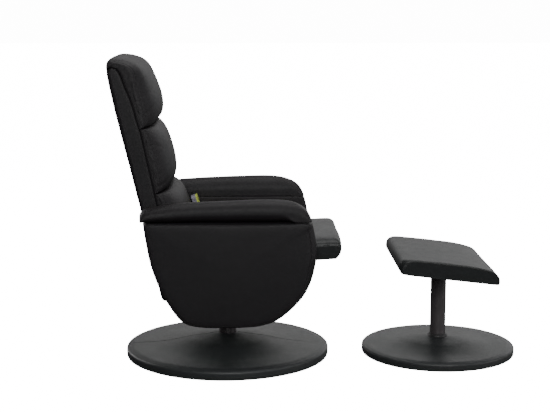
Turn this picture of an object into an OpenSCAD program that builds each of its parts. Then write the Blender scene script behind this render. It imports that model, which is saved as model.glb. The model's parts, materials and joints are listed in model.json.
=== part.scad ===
/* [Base] */
// Diameter of the round chair base
base_d = 700; // [640:5:760]
// Height of the rim of the chair base
base_rim_h = 29; // [26:1:36]
// Height at which the chair base cover meets the column
base_neck_h = 77; // [65:1:95]
// Wall of both base covers
cover_t = 3; // [2:0.5:4]
// Thickness of the steel plates in both bases
base_plate_t = 8; // [6:1:12]
// Thickness of the felt under both bases
felt_t = 3; // [2:0.5:4]

/* [Column] */
// Outside diameter of the column
column_d = 60; // [54:1:70]
// Wall of the column tube
column_wall = 4; // [3:0.5:6]
// Height of the top end of the column above the floor
column_top = 140; // [130:1:150]
// Diameter of the spindle that turns in the column
spindle_d = 36; // [32:1:40]
// Length of each spindle bushing
bushing_l = 30; // [20:1:32]
// Thickness of the thrust washer
washer_t = 3; // [2:0.5:5]

/* [Chassis] */
// Length of the swivel plate
swivel_plate_l = 210; // [180:5:220]
// Thickness of the swivel plate
swivel_plate_t = 8; // [6:1:10]
// Width of the chassis rails
rail_w = 30; // [25:1:35]
// Height of the chassis rails
rail_h = 35; // [30:1:40]
// Distance between the middles of the two rails
rail_span_l = 110; // [105:5:125]
// Wall of all square tubes
tube_wall = 2; // [1.5:0.5:3]
// Width of the cross tubes
cross_w = 30; // [25:1:35]
// Height of the cross tubes
cross_h = 25; // [20:1:28]
// Distance between the middles of the two cross tubes
cross_span_l = 180; // [170:5:190]

/* [Sides] */
// Clear width between the two upholstered sides
inner_w = 480; // [476:2:520]
// Thickness of an upholstered side
side_t = 76; // [70:1:90]
// Length of a side from the rear to the front
side_l = 573; // [550:1:600]
// Height of a side from its lowest point to the arm top
side_h = 419; // [408:1:433]
// Thickness of the plywood core of a side
side_board_t = 24; // [18:1:28]
// Foam over the edge of the plywood core
side_edge_foam = 12; // [8:1:16]
// Width of an arm pad
arm_pad_w = 90; // [84:1:96]

/* [Back] */
// Width of the back
back_w = 472; // [440:2:474]
// Thickness of the upholstered back shell
back_t = 56; // [52:1:62]
// Length of the back shell along its lean
back_l = 784; // [740:2:800]
// Lean of the upright back
back_lean = 11.9; // [8:0.1:14]
// Height of the recline pivot above the bottom of the sides
back_pivot_up = 97; // [95:1:101]
// Distance of the recline pivot behind the swivel axis
back_pivot_back = 150; // [146:1:152]
// Length of the head cushion along the back
head_l = 226; // [200:2:240]
// Length of the middle cushion along the back
middle_l = 216; // [190:2:220]
// Height of the lumbar cushion's foot above the foot of the back
cushion_foot = 178; // [174:1:190]
// Depth of the back cushions in front of the shell
back_cushion_t = 72; // [60:1:76]
// Thickness of the back's plywood board
back_board_t = 12; // [9:1:15]

/* [Seat] */
// Width of the seat cushion
seat_w = 456; // [430:2:458]
// Length of the seat cushion
seat_l = 549; // [530:1:560]
// Thickness of the seat cushion at its crown
seat_t = 68; // [64:1:72]
// Slope of the seat at rest
seat_slope = 3.4; // [2:0.1:4]
// Height of the seat pivot above the bottom of the sides
seat_pivot_up = 185; // [183:1:189]
// Thickness of the seat frame
seat_frame_t = 18; // [15:1:20]

/* [Massage] */
// Diameter of a massage motor housing
motor_d = 72; // [60:1:76]
// Height of a massage motor housing
motor_h = 26; // [22:1:27]
// Wall of a massage motor housing
motor_wall = 2.5; // [2:0.5:3]
// Diameter of a motor shaft
motor_shaft_d = 6; // [5:0.5:7]

/* [Gas spring] */
// Outside diameter of the gas spring cylinder
gas_d = 20; // [18:1:21]
// Diameter of the gas spring rod
gas_rod_d = 8; // [7:0.5:10]
// Distance from the recline pivot to the cross bar
bar_arm = 55.8; // [54:0.2:57]
// Diameter of the cross bar that the gas spring pushes
bar_d = 20; // [18:1:22]

/* [Handset] */
// Length of the massage handset
handset_l = 118; // [105:1:132]
// Width of the massage handset
handset_w = 48; // [42:1:54]
// Thickness of the massage handset
handset_t = 21; // [19:1:24]
// Wall of the handset cases
handset_wall = 2; // [1.5:0.5:2.5]
// Diameter of a handset button
button_d = 9; // [7:0.5:11]
// Travel of a handset button
button_travel = 1.2; // [0.8:0.1:1.4]

/* [Footstool] */
// Diameter of the footstool base
stool_base_d = 530; // [480:5:560]
// Height of the rim of the footstool base
stool_rim_h = 26; // [22:1:30]
// Height at which the footstool base cover meets its post
stool_neck_h = 61; // [52:1:72]
// Distance of the footstool in front of the chair
stool_reach = 735; // [720:1:760]
// Diameter of the footstool post
stool_post_d = 54; // [48:1:60]
// Height of the underside of the footstool pad above the post
stool_h = 305; // [280:1:320]
// Length of the footstool pad
stool_l = 346; // [320:1:360]
// Width of the footstool pad
stool_w = 446; // [430:2:470]
// Thickness of the footstool pad
stool_t = 53; // [48:1:58]
// Slope of the footstool pad, down and away from the chair
stool_slope = 6.6; // [4:0.1:8]

/* [Hidden] */
$fn = 48;

// Clearances shared by all pieces
cut = 1;
fit = 0.05;
soft_gap = 0.3;
bolt_play = 0.2;

// Colours, as the photograph shows them
leather = [0.13, 0.13, 0.14];
seat_leather = [0.24, 0.25, 0.25];
steel = [0.55, 0.56, 0.58];
black_steel = [0.2, 0.2, 0.21];
plywood = [0.72, 0.58, 0.4];
plastic = [0.45, 0.46, 0.47];
accent = [0.72, 0.75, 0.25];

// Levels and places on the chassis
base_r = base_d / 2;
stool_r = stool_base_d / 2;
plate_top = felt_t + base_plate_t;
felt_inset = 28;
plate_inset = 24;
flange_d = 150;
flange_t = 6;
base_bolt_d = 10;
base_bolt_head_d = 16;
base_bolt_head_h = 6;
base_bolt_circle = 116;
base_bolt_count = 4;
bushing_low = 30;
clip_t = 3;
clip_d = 46;
clip_groove = 1;
clip_drop = 6;
spindle_end = 18;
spindle_head_d = 56;
spindle_head_t = 6;
deck_z = column_top + washer_t;
rail_z = deck_z + swivel_plate_t;
cross_z = rail_z + rail_h;
swivel_plate_w = 150;
chassis_mid_x = 20;
rail_over = 5;
end_plate_t = 5;
end_plate_w = 70;
end_plate_h = 62;
side_bolt_d = 8;
side_bolt_head_d = 13;
side_bolt_head_t = 5;
side_bolt_span_l = 44;
side_bolt_up = 47;
side_bolt_grip = 20;

// Upholstered sides
side_gap_z = 22;
side_z = deck_z + side_gap_z;
side_back = 278;
inner_y = inner_w / 2;
side_edge_r = 10;
arm_taper_l = 96;
arm_taper_share = 0.9;
arm_taper_start_share = 0.75;

// Pivots
pivot_d = 12;
collar_d = 18;
collar_t = 4;
pin_bury = 22;
back_pivot = [-back_pivot_back, side_z + back_pivot_up];
seat_pivot = [-back_pivot_back, side_z + seat_pivot_up];
pivot_reach = 10.8;
pivot_up = 11.5;
back_web_y = 212;
web_t = 4;
web_r = 10.5;
bar_eye_r = 15;
bush_wall = 2;
bush_flange = 1.5;
bush_flange_d = 20;
back_pin_tip = 5;
back_flange_w = 40;
back_flange_l = 120;
web_top = 60;
web_share = 0.8;

// Back shell and its board
shell_wall = 16;
shell_rim = 14;
batten_w = 30;
hood_over = 14;
lumbar_l = back_l + hood_over - cushion_foot - head_l - middle_l;
lumbar_depth_share = 1.2;
middle_foot = cushion_foot + lumbar_l;
head_foot = middle_foot + middle_l;
hood_drop = 9;
motor_y = 95;
upper_motor_share = 0.5;
lower_motor_share = 0.55;

// Seat
seat_rear = 14;
seat_bottom = 1;
seat_edge_foam = 10;
seat_foot_shares = [0.02, 0.955];
foot_step = 0.05;
frame_rail = 60;
webbing_t = 1.5;
webbing_w = 50;
webbing_count = 5;
slat_w = 80;
slat_t = 10;
slat_count = 2;
seat_motor_y = 95;
seat_web_t = 3;
seat_web_y = 232;
seat_web_h = 14;
seat_web_drop = 10;
seat_flange_w = 45;
seat_flange_l = 140;
seat_flange_rear = 16;
seat_pin_tip = 2;

// Massage motors
rotor_r = 24;
rotor_t = 10;
rotor_hub_d = 12;
boss_h = 6;
boss_d = 12;
shaft_gap = 1;

// Gas spring, from its chassis eye to the cross bar
gas_eye_x = 85;
gas_eye_up = 6;
gas_eye_d = 22;
gas_pin_d = 8;
gas_cyl_l = 105;
gas_eye_t = 12;
gas_lug_t = 4;
bar_angle = -57.45;
bar_wall = 2;
rod_ring_wall = 4;
bar_play = 2;
rod_plug = 20;
gas_end = 3;

// Control box beside the left rail
box_l = 120;
box_w = 70;
box_h = 30;
box_wall = 2.5;
box_x = -48;
inlet_d = 12;
inlet_l = 12;
inlet_bore = 5.5;
inlet_flange = 2;
inlet_flange_d = 16;

// Release lever under the seat
lever_x = 370;
lever_y = 180;
lever_drop = 25;
lever_w = 12;
lever_t = 8;
lever_l = 48;
lever_hub_d = 16;
lever_pin_d = 6;
cheek_t = 4;
cheek_w = 22;
cheek_gap = 1;
bridge_t = 4;
paddle_l = 60;
paddle_w = 26;

// Handset, standing on the rear left of the seat
handset_x = 71;
handset_y = 190;
handset_tilt = 14.6;
handset_lift = 60.6;
handset_r = 8;
bezel_t = 6;
pcb_t = 1.6;
pcb_back = 4.4;
button_flange = 1.25;
button_flange_t = 1.3;
button_proud = button_travel;
button_gap = 0.1;
button_shares = [0.84, 0.68, 0.52, 0.36];

// Footstool
stool_flange_d = 110;
stool_top_plate = 160;
stool_top_plate_t = 5;
stool_pad_mid = -3;
stool_board_t = 15;
stool_board_rear = 68;
stool_board_l = 190;
stool_board_edge = 32;
post_wall = 2.5;

// Smooth curve through control points, as n samples
function knot(a, b, c, d, t) = (b * 2 + (c - a) * t + (a * 2 - b * 5 + c * 4 - d) * t * t
    + (b * 3 - a - c * 3 + d) * t * t * t) / 2;
function curve(p, n) = [for (i = [0:n - 1])
    let (s = i / (n - 1) * (len(p) - 1), k = min(floor(s), len(p) - 2))
    knot(p[max(k - 1, 0)], p[k], p[k + 1], p[min(k + 2, len(p) - 1)], s - k)];
function stretch(shares, size, start) = [for (s = shares)
    [start[0] + s[0] * size[0], start[1] + s[1] * size[1]]];
function mix(a, b, t) = a + (b - a) * t;
function backwards(v) = [for (i = [len(v) - 1:-1:0]) v[i]];
function smooth(t) = let (c = max(0, min(1, t))) c * c * (3 - 2 * c);

// Middle of an outline's box, and the outline drawn in by d towards that middle
function middle(ring) = [for (c = [0, 1])
    (max([for (p = ring) p[c]]) + min([for (p = ring) p[c]])) / 2];
function inset(ring, d) = let (m = middle(ring))
    [for (p = ring) p - (p - m) / norm(p - m) * d];

// Rounded rectangle centred on the origin, from its size and corner radius
function rounded(l, w, r, n = 6) = [for (q = [0:3], i = [0:n - 1])
    let (a = q * 90 + i * 90 / (n - 1), sx = (q == 0 || q == 3) ? 1 : -1, sy = q < 2 ? 1 : -1)
    [sx * (l / 2 - r) + r * cos(a), sy * (w / 2 - r) + r * sin(a)]];

// Prism along Y from an outline in X and Z
module y_prism(outline, y0, y1) {
    translate([0, y1, 0])
        rotate([90, 0, 0])
            linear_extrude(y1 - y0)
                polygon(outline);
}

// Prism along X from an outline in Y and Z
module x_prism(outline, x0, x1) {
    translate([x0, 0, 0])
        rotate([90, 0, 90])
            linear_extrude(x1 - x0)
                polygon(outline);
}

module block(x, y, z) {
    translate([x[0], y[0], z[0]])
        cube([x[1] - x[0], y[1] - y[0], z[1] - z[0]]);
}

// Cylinder along Y
module y_rod(x, z, y0, y1, d) {
    translate([x, y1, z])
        rotate([90, 0, 0])
            cylinder(d = d, h = y1 - y0);
}

// Cylinder along X
module x_rod(y, z, x0, x1, d) {
    translate([x0, y, z])
        rotate([0, 90, 0])
            cylinder(d = d, h = x1 - x0);
}

module on_both_sides() {
    children();
    mirror([0, 1, 0])
        children();
}

// Triangles between stacked rings of m points
function band_faces(rings, m) = [for (k = [0:rings - 2], i = [0:m - 1], h = [0:1])
    let (a = k * m + i, b = k * m + (i + 1) % m, c = b + m, d = a + m)
    h == 0 ? [a, b, c] : [a, c, d]];

// Upholstered piece between an outer and an inner line, closed across like a ladder.
// Each span is [y, low, high, recess]: the shares of the ladder where the piece begins
// and ends, and the depth of a recess cut into its inner side.
module pillow(outer, inner, spans, warp = [0]) {
    m = len(outer);
    low = [for (s = spans) [for (i = [0:m - 1])
        let (rung = outer[i] - inner[i], deep = norm(rung) > 2 * s[3] ? s[3] : 0)
        inner[i] + rung * s[1] + rung / norm(rung) * deep]];
    high = [for (s = spans) [for (i = [0:m - 1]) mix(inner[i], outer[i], s[2])]];
    flat_y = function (p, y) y - (warp[0] > 0
        ? warp[0] * smooth((p[0] - warp[1]) / warp[2]) * (y - warp[3]) / warp[4] : 0);
    points = [for (k = [0:len(spans) - 1])
        each [for (p = concat(high[k], backwards(low[k]))) [p[0], flat_y(p, spans[k][0]), p[1]]]];
    last = (len(spans) - 1) * 2 * m;
    near_cap = [for (i = [0:m - 2], h = [0:1])
        h == 0 ? [2 * m - 2 - i, i + 1, i] : [2 * m - 1 - i, 2 * m - 2 - i, i]];
    far_cap = [for (f = near_cap) [last + f[2], last + f[1], last + f[0]]];
    polyhedron(points, concat(band_faces(len(spans), 2 * m), near_cap, far_cap));
}

// Spans of a cushion: shares of its half width, with the crown falling off to the edges
crown_shares = [[0, 1], [0.3, 0.985], [0.58, 0.94], [0.8, 0.87], [0.92, 0.81],
    [0.98, 0.74], [1, 0.62]];
function crown_spans(w) = concat(
    [for (s = backwards(crown_shares)) if (s[0] > 0) [-s[0] * w / 2, 0, s[1], 0]],
    [for (s = crown_shares) [s[0] * w / 2, 0, s[1], 0]]);

// Spans of a piece with the same edge on both sides: [share of the edge, low, high]
function edge_spans(shares, h, edge) = concat(
    [for (s = shares) [-h + s[0] * edge, s[1], s[2], 0]],
    [for (s = backwards(shares)) [h - s[0] * edge, s[1], s[2], 0]]);

// One side of a round base cover, as shares: first of the way from the neck to the rim,
// then of the height, with 0 to 1 up to the rim and 1 to 2 from the rim to the neck
cover_shares = [[0.953, 0.1], [0.98, 0.2], [0.995, 0.38], [1, 0.6], [0.998, 0.8], [0.988, 0.97],
    [0.958, 1.09], [0.91, 1.17], [0.86, 1.215], [0.76, 1.27], [0.647, 1.3], [0.53, 1.385],
    [0.41, 1.52], [0.31, 1.67], [0.2, 1.78], [0.094, 1.885], [0, 2]];

module trumpet(r, neck_r, rim_h, neck_h) {
    line = [for (s = curve(cover_shares, 36))
        [neck_r + s[0] * (r - neck_r),
            s[1] < 1 ? s[1] * rim_h : rim_h + (s[1] - 1) * (neck_h - rim_h)]];
    foot = line[0][1];
    inside = [for (p = line)
        [neck_r + (p[0] - neck_r) * (1 - cover_t / (r - neck_r)),
            p[1] - cover_t * min(1, (p[1] - foot) / (rim_h - foot))]];
    rotate_extrude($fn = 96)
        polygon(concat(line, backwards(inside)));
}

module drilled_disc(r, t, hole_d, circle, bore) {
    difference() {
        cylinder(r = r, h = t, $fn = 96);
        for (i = [0:base_bolt_count - 1])
            rotate([0, 0, (i + 0.5) * 360 / base_bolt_count])
                translate([circle / 2, 0, -cut])
                    cylinder(d = hole_d, h = t + 2 * cut);
        if (bore > 0)
            translate([0, 0, -cut])
                cylinder(d = bore, h = t + 2 * cut);
    }
}

module ring(d, bore, t) {
    difference() {
        cylinder(d = d, h = t);
        translate([0, 0, -cut])
            cylinder(d = bore, h = t + 2 * cut);
    }
}

module floor_pad() {
    color(black_steel)
        cylinder(r = base_r - felt_inset, h = felt_t, $fn = 96);
}

module base_plate() {
    color(steel)
        translate([0, 0, felt_t])
            drilled_disc(base_r - plate_inset, base_plate_t, base_bolt_d + 2 * bolt_play,
                base_bolt_circle, 0);
}

module base_cover() {
    color(seat_leather)
        trumpet(base_r, column_d / 2 + soft_gap, base_rim_h, base_neck_h);
}

module column_tube() {
    bore = column_d - 2 * column_wall;
    color(black_steel)
        translate([0, 0, plate_top]) {
            drilled_disc(flange_d / 2, flange_t, base_bolt_d + 2 * bolt_play, base_bolt_circle,
                bore);
            translate([0, 0, flange_t])
                ring(column_d, bore, column_top - plate_top - flange_t);
        }
}

module base_bolts() {
    color(steel)
        for (i = [0:base_bolt_count - 1])
            rotate([0, 0, (i + 0.5) * 360 / base_bolt_count])
                translate([base_bolt_circle / 2, 0, 0]) {
                    translate([0, 0, plate_top + flange_t])
                        cylinder(d = base_bolt_head_d, h = base_bolt_head_h, $fn = 6);
                    translate([0, 0, felt_t])
                        cylinder(d = base_bolt_d, h = base_plate_t + flange_t);
                }
}

module column_bushings() {
    color("ivory")
        for (z = [bushing_low, column_top - bushing_l])
            translate([0, 0, z])
                ring(column_d - 2 * column_wall - 2 * fit, spindle_d + 2 * fit, bushing_l);
}

module thrust_washer() {
    color("ivory")
        translate([0, 0, column_top])
            ring(column_d, spindle_d + 2 * fit, washer_t);
}

module spindle() {
    color(steel)
        difference() {
            union() {
                translate([0, 0, spindle_end])
                    cylinder(d = spindle_d, h = rail_z - spindle_end);
                translate([0, 0, rail_z])
                    cylinder(d = spindle_head_d, h = spindle_head_t);
            }
            translate([0, 0, bushing_low - clip_drop - fit])
                ring(spindle_d + 2 * cut, spindle_d - 2 * clip_groove, clip_t + 2 * fit);
        }
}

module spindle_clip() {
    color(steel)
        translate([0, 0, bushing_low - clip_drop])
            ring(clip_d, spindle_d - 2 * clip_groove + 2 * fit, clip_t);
}

module swivel_plate() {
    x0 = chassis_mid_x - swivel_plate_l / 2;
    color(black_steel)
        difference() {
            block([x0, x0 + swivel_plate_l], [-swivel_plate_w / 2, swivel_plate_w / 2],
                [deck_z, rail_z]);
            translate([0, 0, deck_z - cut])
                cylinder(d = spindle_d + 2 * fit, h = swivel_plate_t + 2 * cut);
        }
}

// Square tube from a start to an end, hollow along its length
module tube_x(x, y, z) {
    difference() {
        block(x, y, z);
        block([x[0] - cut, x[1] + cut], [y[0] + tube_wall, y[1] - tube_wall],
            [z[0] + tube_wall, z[1] - tube_wall]);
    }
}

module tube_y(x, y, z) {
    difference() {
        block(x, y, z);
        block([x[0] + tube_wall, x[1] - tube_wall], [y[0] - cut, y[1] + cut],
            [z[0] + tube_wall, z[1] - tube_wall]);
    }
}

cross_x = [chassis_mid_x - cross_span_l / 2, chassis_mid_x + cross_span_l / 2];
rail_x = [cross_x[0] - cross_w / 2 - rail_over, cross_x[1] + cross_w / 2 + rail_over];
gas_eye = [gas_eye_x, cross_z + cross_h + gas_eye_d / 2 + gas_eye_up - gas_eye_d / 4];

module chassis_rails() {
    color(black_steel)
        on_both_sides()
            tube_x(rail_x, [(rail_span_l - rail_w) / 2, (rail_span_l + rail_w) / 2],
                [rail_z, cross_z]);
}

module chassis_cross_tubes() {
    color(black_steel)
        for (x = cross_x)
            tube_y([x - cross_w / 2, x + cross_w / 2],
                [end_plate_t - inner_y, inner_y - end_plate_t], [cross_z, cross_z + cross_h]);
}

// Plates that the sides are bolted to, and the two lugs that hold the gas spring's eye
module chassis_end_plates() {
    lug = gas_eye_t / 2 + cheek_gap;
    color(black_steel) {
        for (x = cross_x)
            difference() {
                on_both_sides()
                    block([x - end_plate_w / 2, x + end_plate_w / 2],
                        [inner_y - end_plate_t, inner_y], [cross_z, cross_z + end_plate_h]);
                bolt_holes(x);
            }
        on_both_sides()
            difference() {
                block([cross_x[1] - cross_w / 2 - gas_eye_d / 2, cross_x[1] + cross_w / 2],
                    [lug, lug + gas_lug_t], [cross_z + cross_h, gas_eye[1] + gas_eye_d / 2]);
                y_rod(gas_eye[0], gas_eye[1], lug - cut, lug + gas_lug_t + cut,
                    gas_pin_d + 2 * fit);
            }
    }
}

module bolt_holes(x) {
    on_both_sides()
        for (s = [-1, 1])
            y_rod(x + s * side_bolt_span_l / 2, cross_z + side_bolt_up, inner_y - end_plate_t - cut,
                inner_y + side_board_t + cut, side_bolt_d + 2 * bolt_play);
}

module chassis_bolts() {
    color(steel)
        on_both_sides()
            for (x = cross_x, s = [-1, 1]) {
                y_rod(x + s * side_bolt_span_l / 2, cross_z + side_bolt_up,
                    inner_y - end_plate_t - side_bolt_head_t, inner_y - end_plate_t,
                    side_bolt_head_d);
                y_rod(x + s * side_bolt_span_l / 2, cross_z + side_bolt_up, inner_y - end_plate_t,
                    inner_y + side_bolt_grip, side_bolt_d);
            }
}

// Stepped pins in the side boards, two for the back and two for the seat
module hinge_pins() {
    color(steel) {
        on_both_sides()
            for (p = [[back_pivot, back_web_y - back_pin_tip],
                [seat_pivot, seat_web_y - seat_pin_tip]]) {
                y_rod(p[0][0], p[0][1], p[1], inner_y + pin_bury, pivot_d);
                y_rod(p[0][0], p[0][1], inner_y - collar_t, inner_y, collar_d);
            }
        y_rod(gas_eye[0], gas_eye[1], -gas_eye_t / 2 - cheek_gap - gas_lug_t,
            gas_eye_t / 2 + cheek_gap + gas_lug_t, gas_pin_d);
    }
}

box_y = (rail_span_l + rail_w) / 2;

module control_box() {
    color(plastic)
        difference() {
            block([box_x, box_x + box_l], [box_y, box_y + box_w], [rail_z, rail_z + box_h]);
            block([box_x + box_wall, box_x + box_l - box_wall],
                [box_y + box_wall, box_y + box_w - box_wall],
                [rail_z + box_wall, rail_z + box_h - box_wall]);
            x_rod(box_y + box_w / 2, rail_z + box_h / 2, box_x - cut, box_x + box_wall + cut,
                inlet_d + 2 * fit);
        }
}

// Power inlet in the rear face of the control box
module dc_inlet() {
    y = box_y + box_w / 2;
    z = rail_z + box_h / 2;
    color(black_steel)
        difference() {
            union() {
                x_rod(y, z, box_x, box_x + inlet_l - inlet_flange, inlet_d);
                x_rod(y, z, box_x - inlet_flange, box_x, inlet_flange_d);
            }
            x_rod(y, z, box_x - inlet_flange - cut, box_x + inlet_l - 2 * inlet_flange,
                inlet_bore);
        }
}

// Outline of a whole side, as shares of its length and height, split where the arm pad sits
side_low_shares = [[0.019, 0.826], [0.033, 0.69], [0.058, 0.515], [0.1, 0.344],
    [0.147, 0.212], [0.214, 0.078], [0.27, 0.026], [0.363, 0.004], [0.485, 0], [0.6, 0.005],
    [0.691, 0.02], [0.794, 0.075], [0.91, 0.224], [0.967, 0.368], [0.9965, 0.5415],
    [0.998, 0.634], [0.981, 0.775], [0.97, 0.824]];
arm_top_shares = [[0.969, 0.842], [0.956, 0.878], [0.931, 0.922], [0.88, 0.966],
    [0.79, 0.996], [0.66, 1], [0.485, 0.991], [0.232, 0.974], [0.119, 0.959], [0.035, 0.937],
    [0.006, 0.905], [0.003, 0.86]];
arm_under_shares = [[0.95, 0.839], [0.925, 0.838], [0.88, 0.838], [0.8, 0.838],
    [0.62, 0.838], [0.42, 0.838], [0.22, 0.838], [0.1, 0.838], [0.05, 0.839], [0.018, 0.84]];
function side_curve(shares, n) = curve(stretch(shares, [side_l, side_h], [-side_back, side_z]), n);
arm_samples = 18;
arm_top = side_curve(arm_top_shares, arm_samples);
arm_under = side_curve(arm_under_shares, arm_samples);
side_outline = concat(side_curve(side_low_shares, 26),
    [for (i = [0:2:arm_samples - 1]) arm_under[i] - [0, soft_gap]]);

module side_board() {
    color(plywood)
        difference() {
            y_prism(inset(side_outline, side_edge_foam), inner_y, inner_y + side_board_t);
            for (x = cross_x)
                bolt_holes(x);
            for (p = [back_pivot, seat_pivot])
                y_rod(p[0], p[1], inner_y - cut, inner_y + side_board_t + cut,
                    pivot_d + 2 * fit);
        }
}

// Upholstery of a side: it wraps the edge of the board and covers its outer face
module side_pad() {
    wrap = side_edge_foam - soft_gap;
    e = side_edge_r;
    rings = [[wrap, side_board_t + soft_gap], [wrap, 0], [side_edge_foam / 3, 0], [0, e / 2],
        [0, side_t - e], [e / 4, side_t - e / 3], [e, side_t - e / 20], [4 * e, side_t]];
    m = len(side_outline);
    c = middle(side_outline);
    points = concat([for (r = rings) each [for (p = inset(side_outline, r[0]))
            [p[0], inner_y + r[1], p[1]]]],
        [[c[0], inner_y + rings[0][1], c[1]], [c[0], inner_y + side_t, c[1]]]);
    last = (len(rings) - 1) * m;
    floor_cap = [for (i = [0:m - 1]) [(i + 1) % m, i, len(rings) * m]];
    outer_cap = [for (i = [0:m - 1]) [last + i, last + (i + 1) % m, len(rings) * m + 1]];
    color(leather)
        polyhedron(points, concat(band_faces(len(rings), m), floor_cap, outer_cap));
}

arm_shares = [[0, 0.36, 0.55, 0], [0.035, 0.2, 0.73, 0], [0.13, 0.05, 0.87, 0],
    [0.3, 0, 0.96, 0], [0.5, 0, 1, 0], [0.7, 0, 0.96, 0], [0.87, 0.05, 0.87, 0],
    [0.965, 0.2, 0.73, 0], [1, 0.36, 0.55, 0]];

module arm_pad() {
    color(leather)
        pillow(arm_top, arm_under, [for (s = arm_shares)
            [inner_y + s[0] * arm_pad_w, s[1], s[2], s[3]]],
            [(arm_pad_w - side_t) * arm_taper_share, side_l * arm_taper_start_share - side_back,
            arm_taper_l, inner_y, arm_pad_w]);
}

module right_side_board() {
    mirror([0, 1, 0])
        side_board();
}

module left_side_board() {
    side_board();
}

module right_side_pad() {
    mirror([0, 1, 0])
        side_pad();
}

module left_side_pad() {
    side_pad();
}

module right_arm_pad() {
    mirror([0, 1, 0])
        arm_pad();
}

module left_arm_pad() {
    arm_pad();
}

// The back's own frame: X is its depth from the rear face, Z its length from its foot
back_pin = [back_t + pivot_reach, pivot_up];

module in_back() {
    translate([back_pivot[0], 0, back_pivot[1]])
        rotate([0, -back_lean, 0])
            translate([-back_pin[0], 0, -back_pin[1]])
                children();
}

module in_back_side() {
    in_back()
        on_both_sides()
            children();
}

board_x = back_t - back_board_t;
board_y = back_w / 2 - shell_rim - soft_gap;
board_z = [shell_rim, back_l - 2 * shell_rim];
motor_z = [middle_foot + upper_motor_share * middle_l, cushion_foot + lower_motor_share * lumbar_l];

module back_frame() {
    color(plywood)
        in_back()
            difference() {
                union() {
                    block([board_x, back_t], [-board_y, board_y], board_z);
                    on_both_sides()
                        block([shell_wall + soft_gap, board_x], [board_y - batten_w, board_y],
                            board_z);
                    for (z = [board_z[0], board_z[1] - batten_w])
                        block([shell_wall + soft_gap, board_x], [batten_w - board_y,
                            board_y - batten_w], [z, z + batten_w]);
                }
                for (z = motor_z)
                    on_both_sides()
                        x_rod(motor_y, z, board_x - cut, back_t + cut, motor_shaft_d);
            }
}

shell_top_shares = [[0.93, 1], [0.6, 1], [0.25, 0.9995], [0.03, 0.998], [-0.1, 0.99],
    [-0.15, 0.96], [-0.165, 0.84], [-0.12, 0.7], [-0.05, 0.55], [0, 0.4], [0.02, 0.25],
    [0.01, 0.1], [0.02, 0.025], [0.1, 0.006], [0.3, 0], [0.6, 0], [0.93, 0]];
shell_side_shares = [[0, 0.16, 0.8], [0.21, 0.04, 0.93], [0.86, 0, 1], [0.93, 0, 1]];
shell_lean_share = 0.35;

module back_shell() {
    outer = curve(stretch(shell_top_shares, [back_t, back_l], [0, 0]), 30);
    front = [for (p = outer) [back_t, max(0, min(back_l, p[1]))]];
    inner = [for (i = [0:len(front) - 1]) [back_t,
        mix(front[i][1], back_l - i / (len(front) - 1) * back_l, shell_lean_share)]];
    color(leather)
        in_back()
            difference() {
                pillow(outer, inner, edge_spans(shell_side_shares, back_w / 2, shell_rim));
                block([shell_wall, back_t + cut], [-board_y - soft_gap, board_y + soft_gap],
                    [board_z[0] - soft_gap, board_z[1] + soft_gap]);
            }
}

// Back cushions in shares of their depth and of their length along the back
head_front_shares = [[0.02, 0], [0.3, 0.002], [0.5, 0.01], [0.7, 0.035], [0.86, 0.1],
    [0.96, 0.19], [1, 0.3], [0.99, 0.42], [0.91, 0.57], [0.79, 0.72], [0.67, 0.82],
    [0.53, 0.882], [0.35, 0.935], [0.12, 0.98], [-0.13, 1.022], [-0.42, 1.055], [-0.68, 1.064],
    [-0.81, 1.04], [-0.84, 0.985]];
hood_rear_share = 0.1;
cushion_shares = [[0.02, 0.003], [0.3, 0.004], [0.5, 0.012], [0.7, 0.04], [0.86, 0.11],
    [0.96, 0.22], [1, 0.36], [0.99, 0.53], [0.94, 0.7], [0.85, 0.83], [0.72, 0.92],
    [0.56, 0.973], [0.38, 0.994], [0.02, 0.997]];

module back_cushion(foot, l, deep) {
    start = back_t + soft_gap;
    outer = curve(stretch(cushion_shares, [deep, l], [start, foot]), 16);
    inner = [for (p = outer) [start, foot + soft_gap + (p[1] - foot) * (1 - 2 * soft_gap / l)]];
    color(leather)
        in_back()
            pillow(outer, inner, crown_spans(back_w));
}

module head_cushion() {
    start = back_t + soft_gap;
    top = back_l + soft_gap;
    outer = curve(stretch(head_front_shares, [back_cushion_t, head_l], [start, head_foot]), 24);
    inner = [for (p = outer)
        p[0] > start && p[1] < top - hood_drop ? [start, p[1] + soft_gap]
            : [min(start, max(p[0], -back_t * hood_rear_share)), top]];
    color(leather)
        in_back()
            pillow(outer, inner, crown_spans(back_w));
}

module middle_cushion() {
    back_cushion(middle_foot, middle_l, back_cushion_t);
}

module lumbar_cushion() {
    back_cushion(cushion_foot, lumbar_l, back_cushion_t * lumbar_depth_share);
}

// Steel plates that carry the back on its pins and hold the cross bar
bar_place = back_pin + bar_arm * [cos(bar_angle - back_lean), sin(bar_angle - back_lean)];

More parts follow.
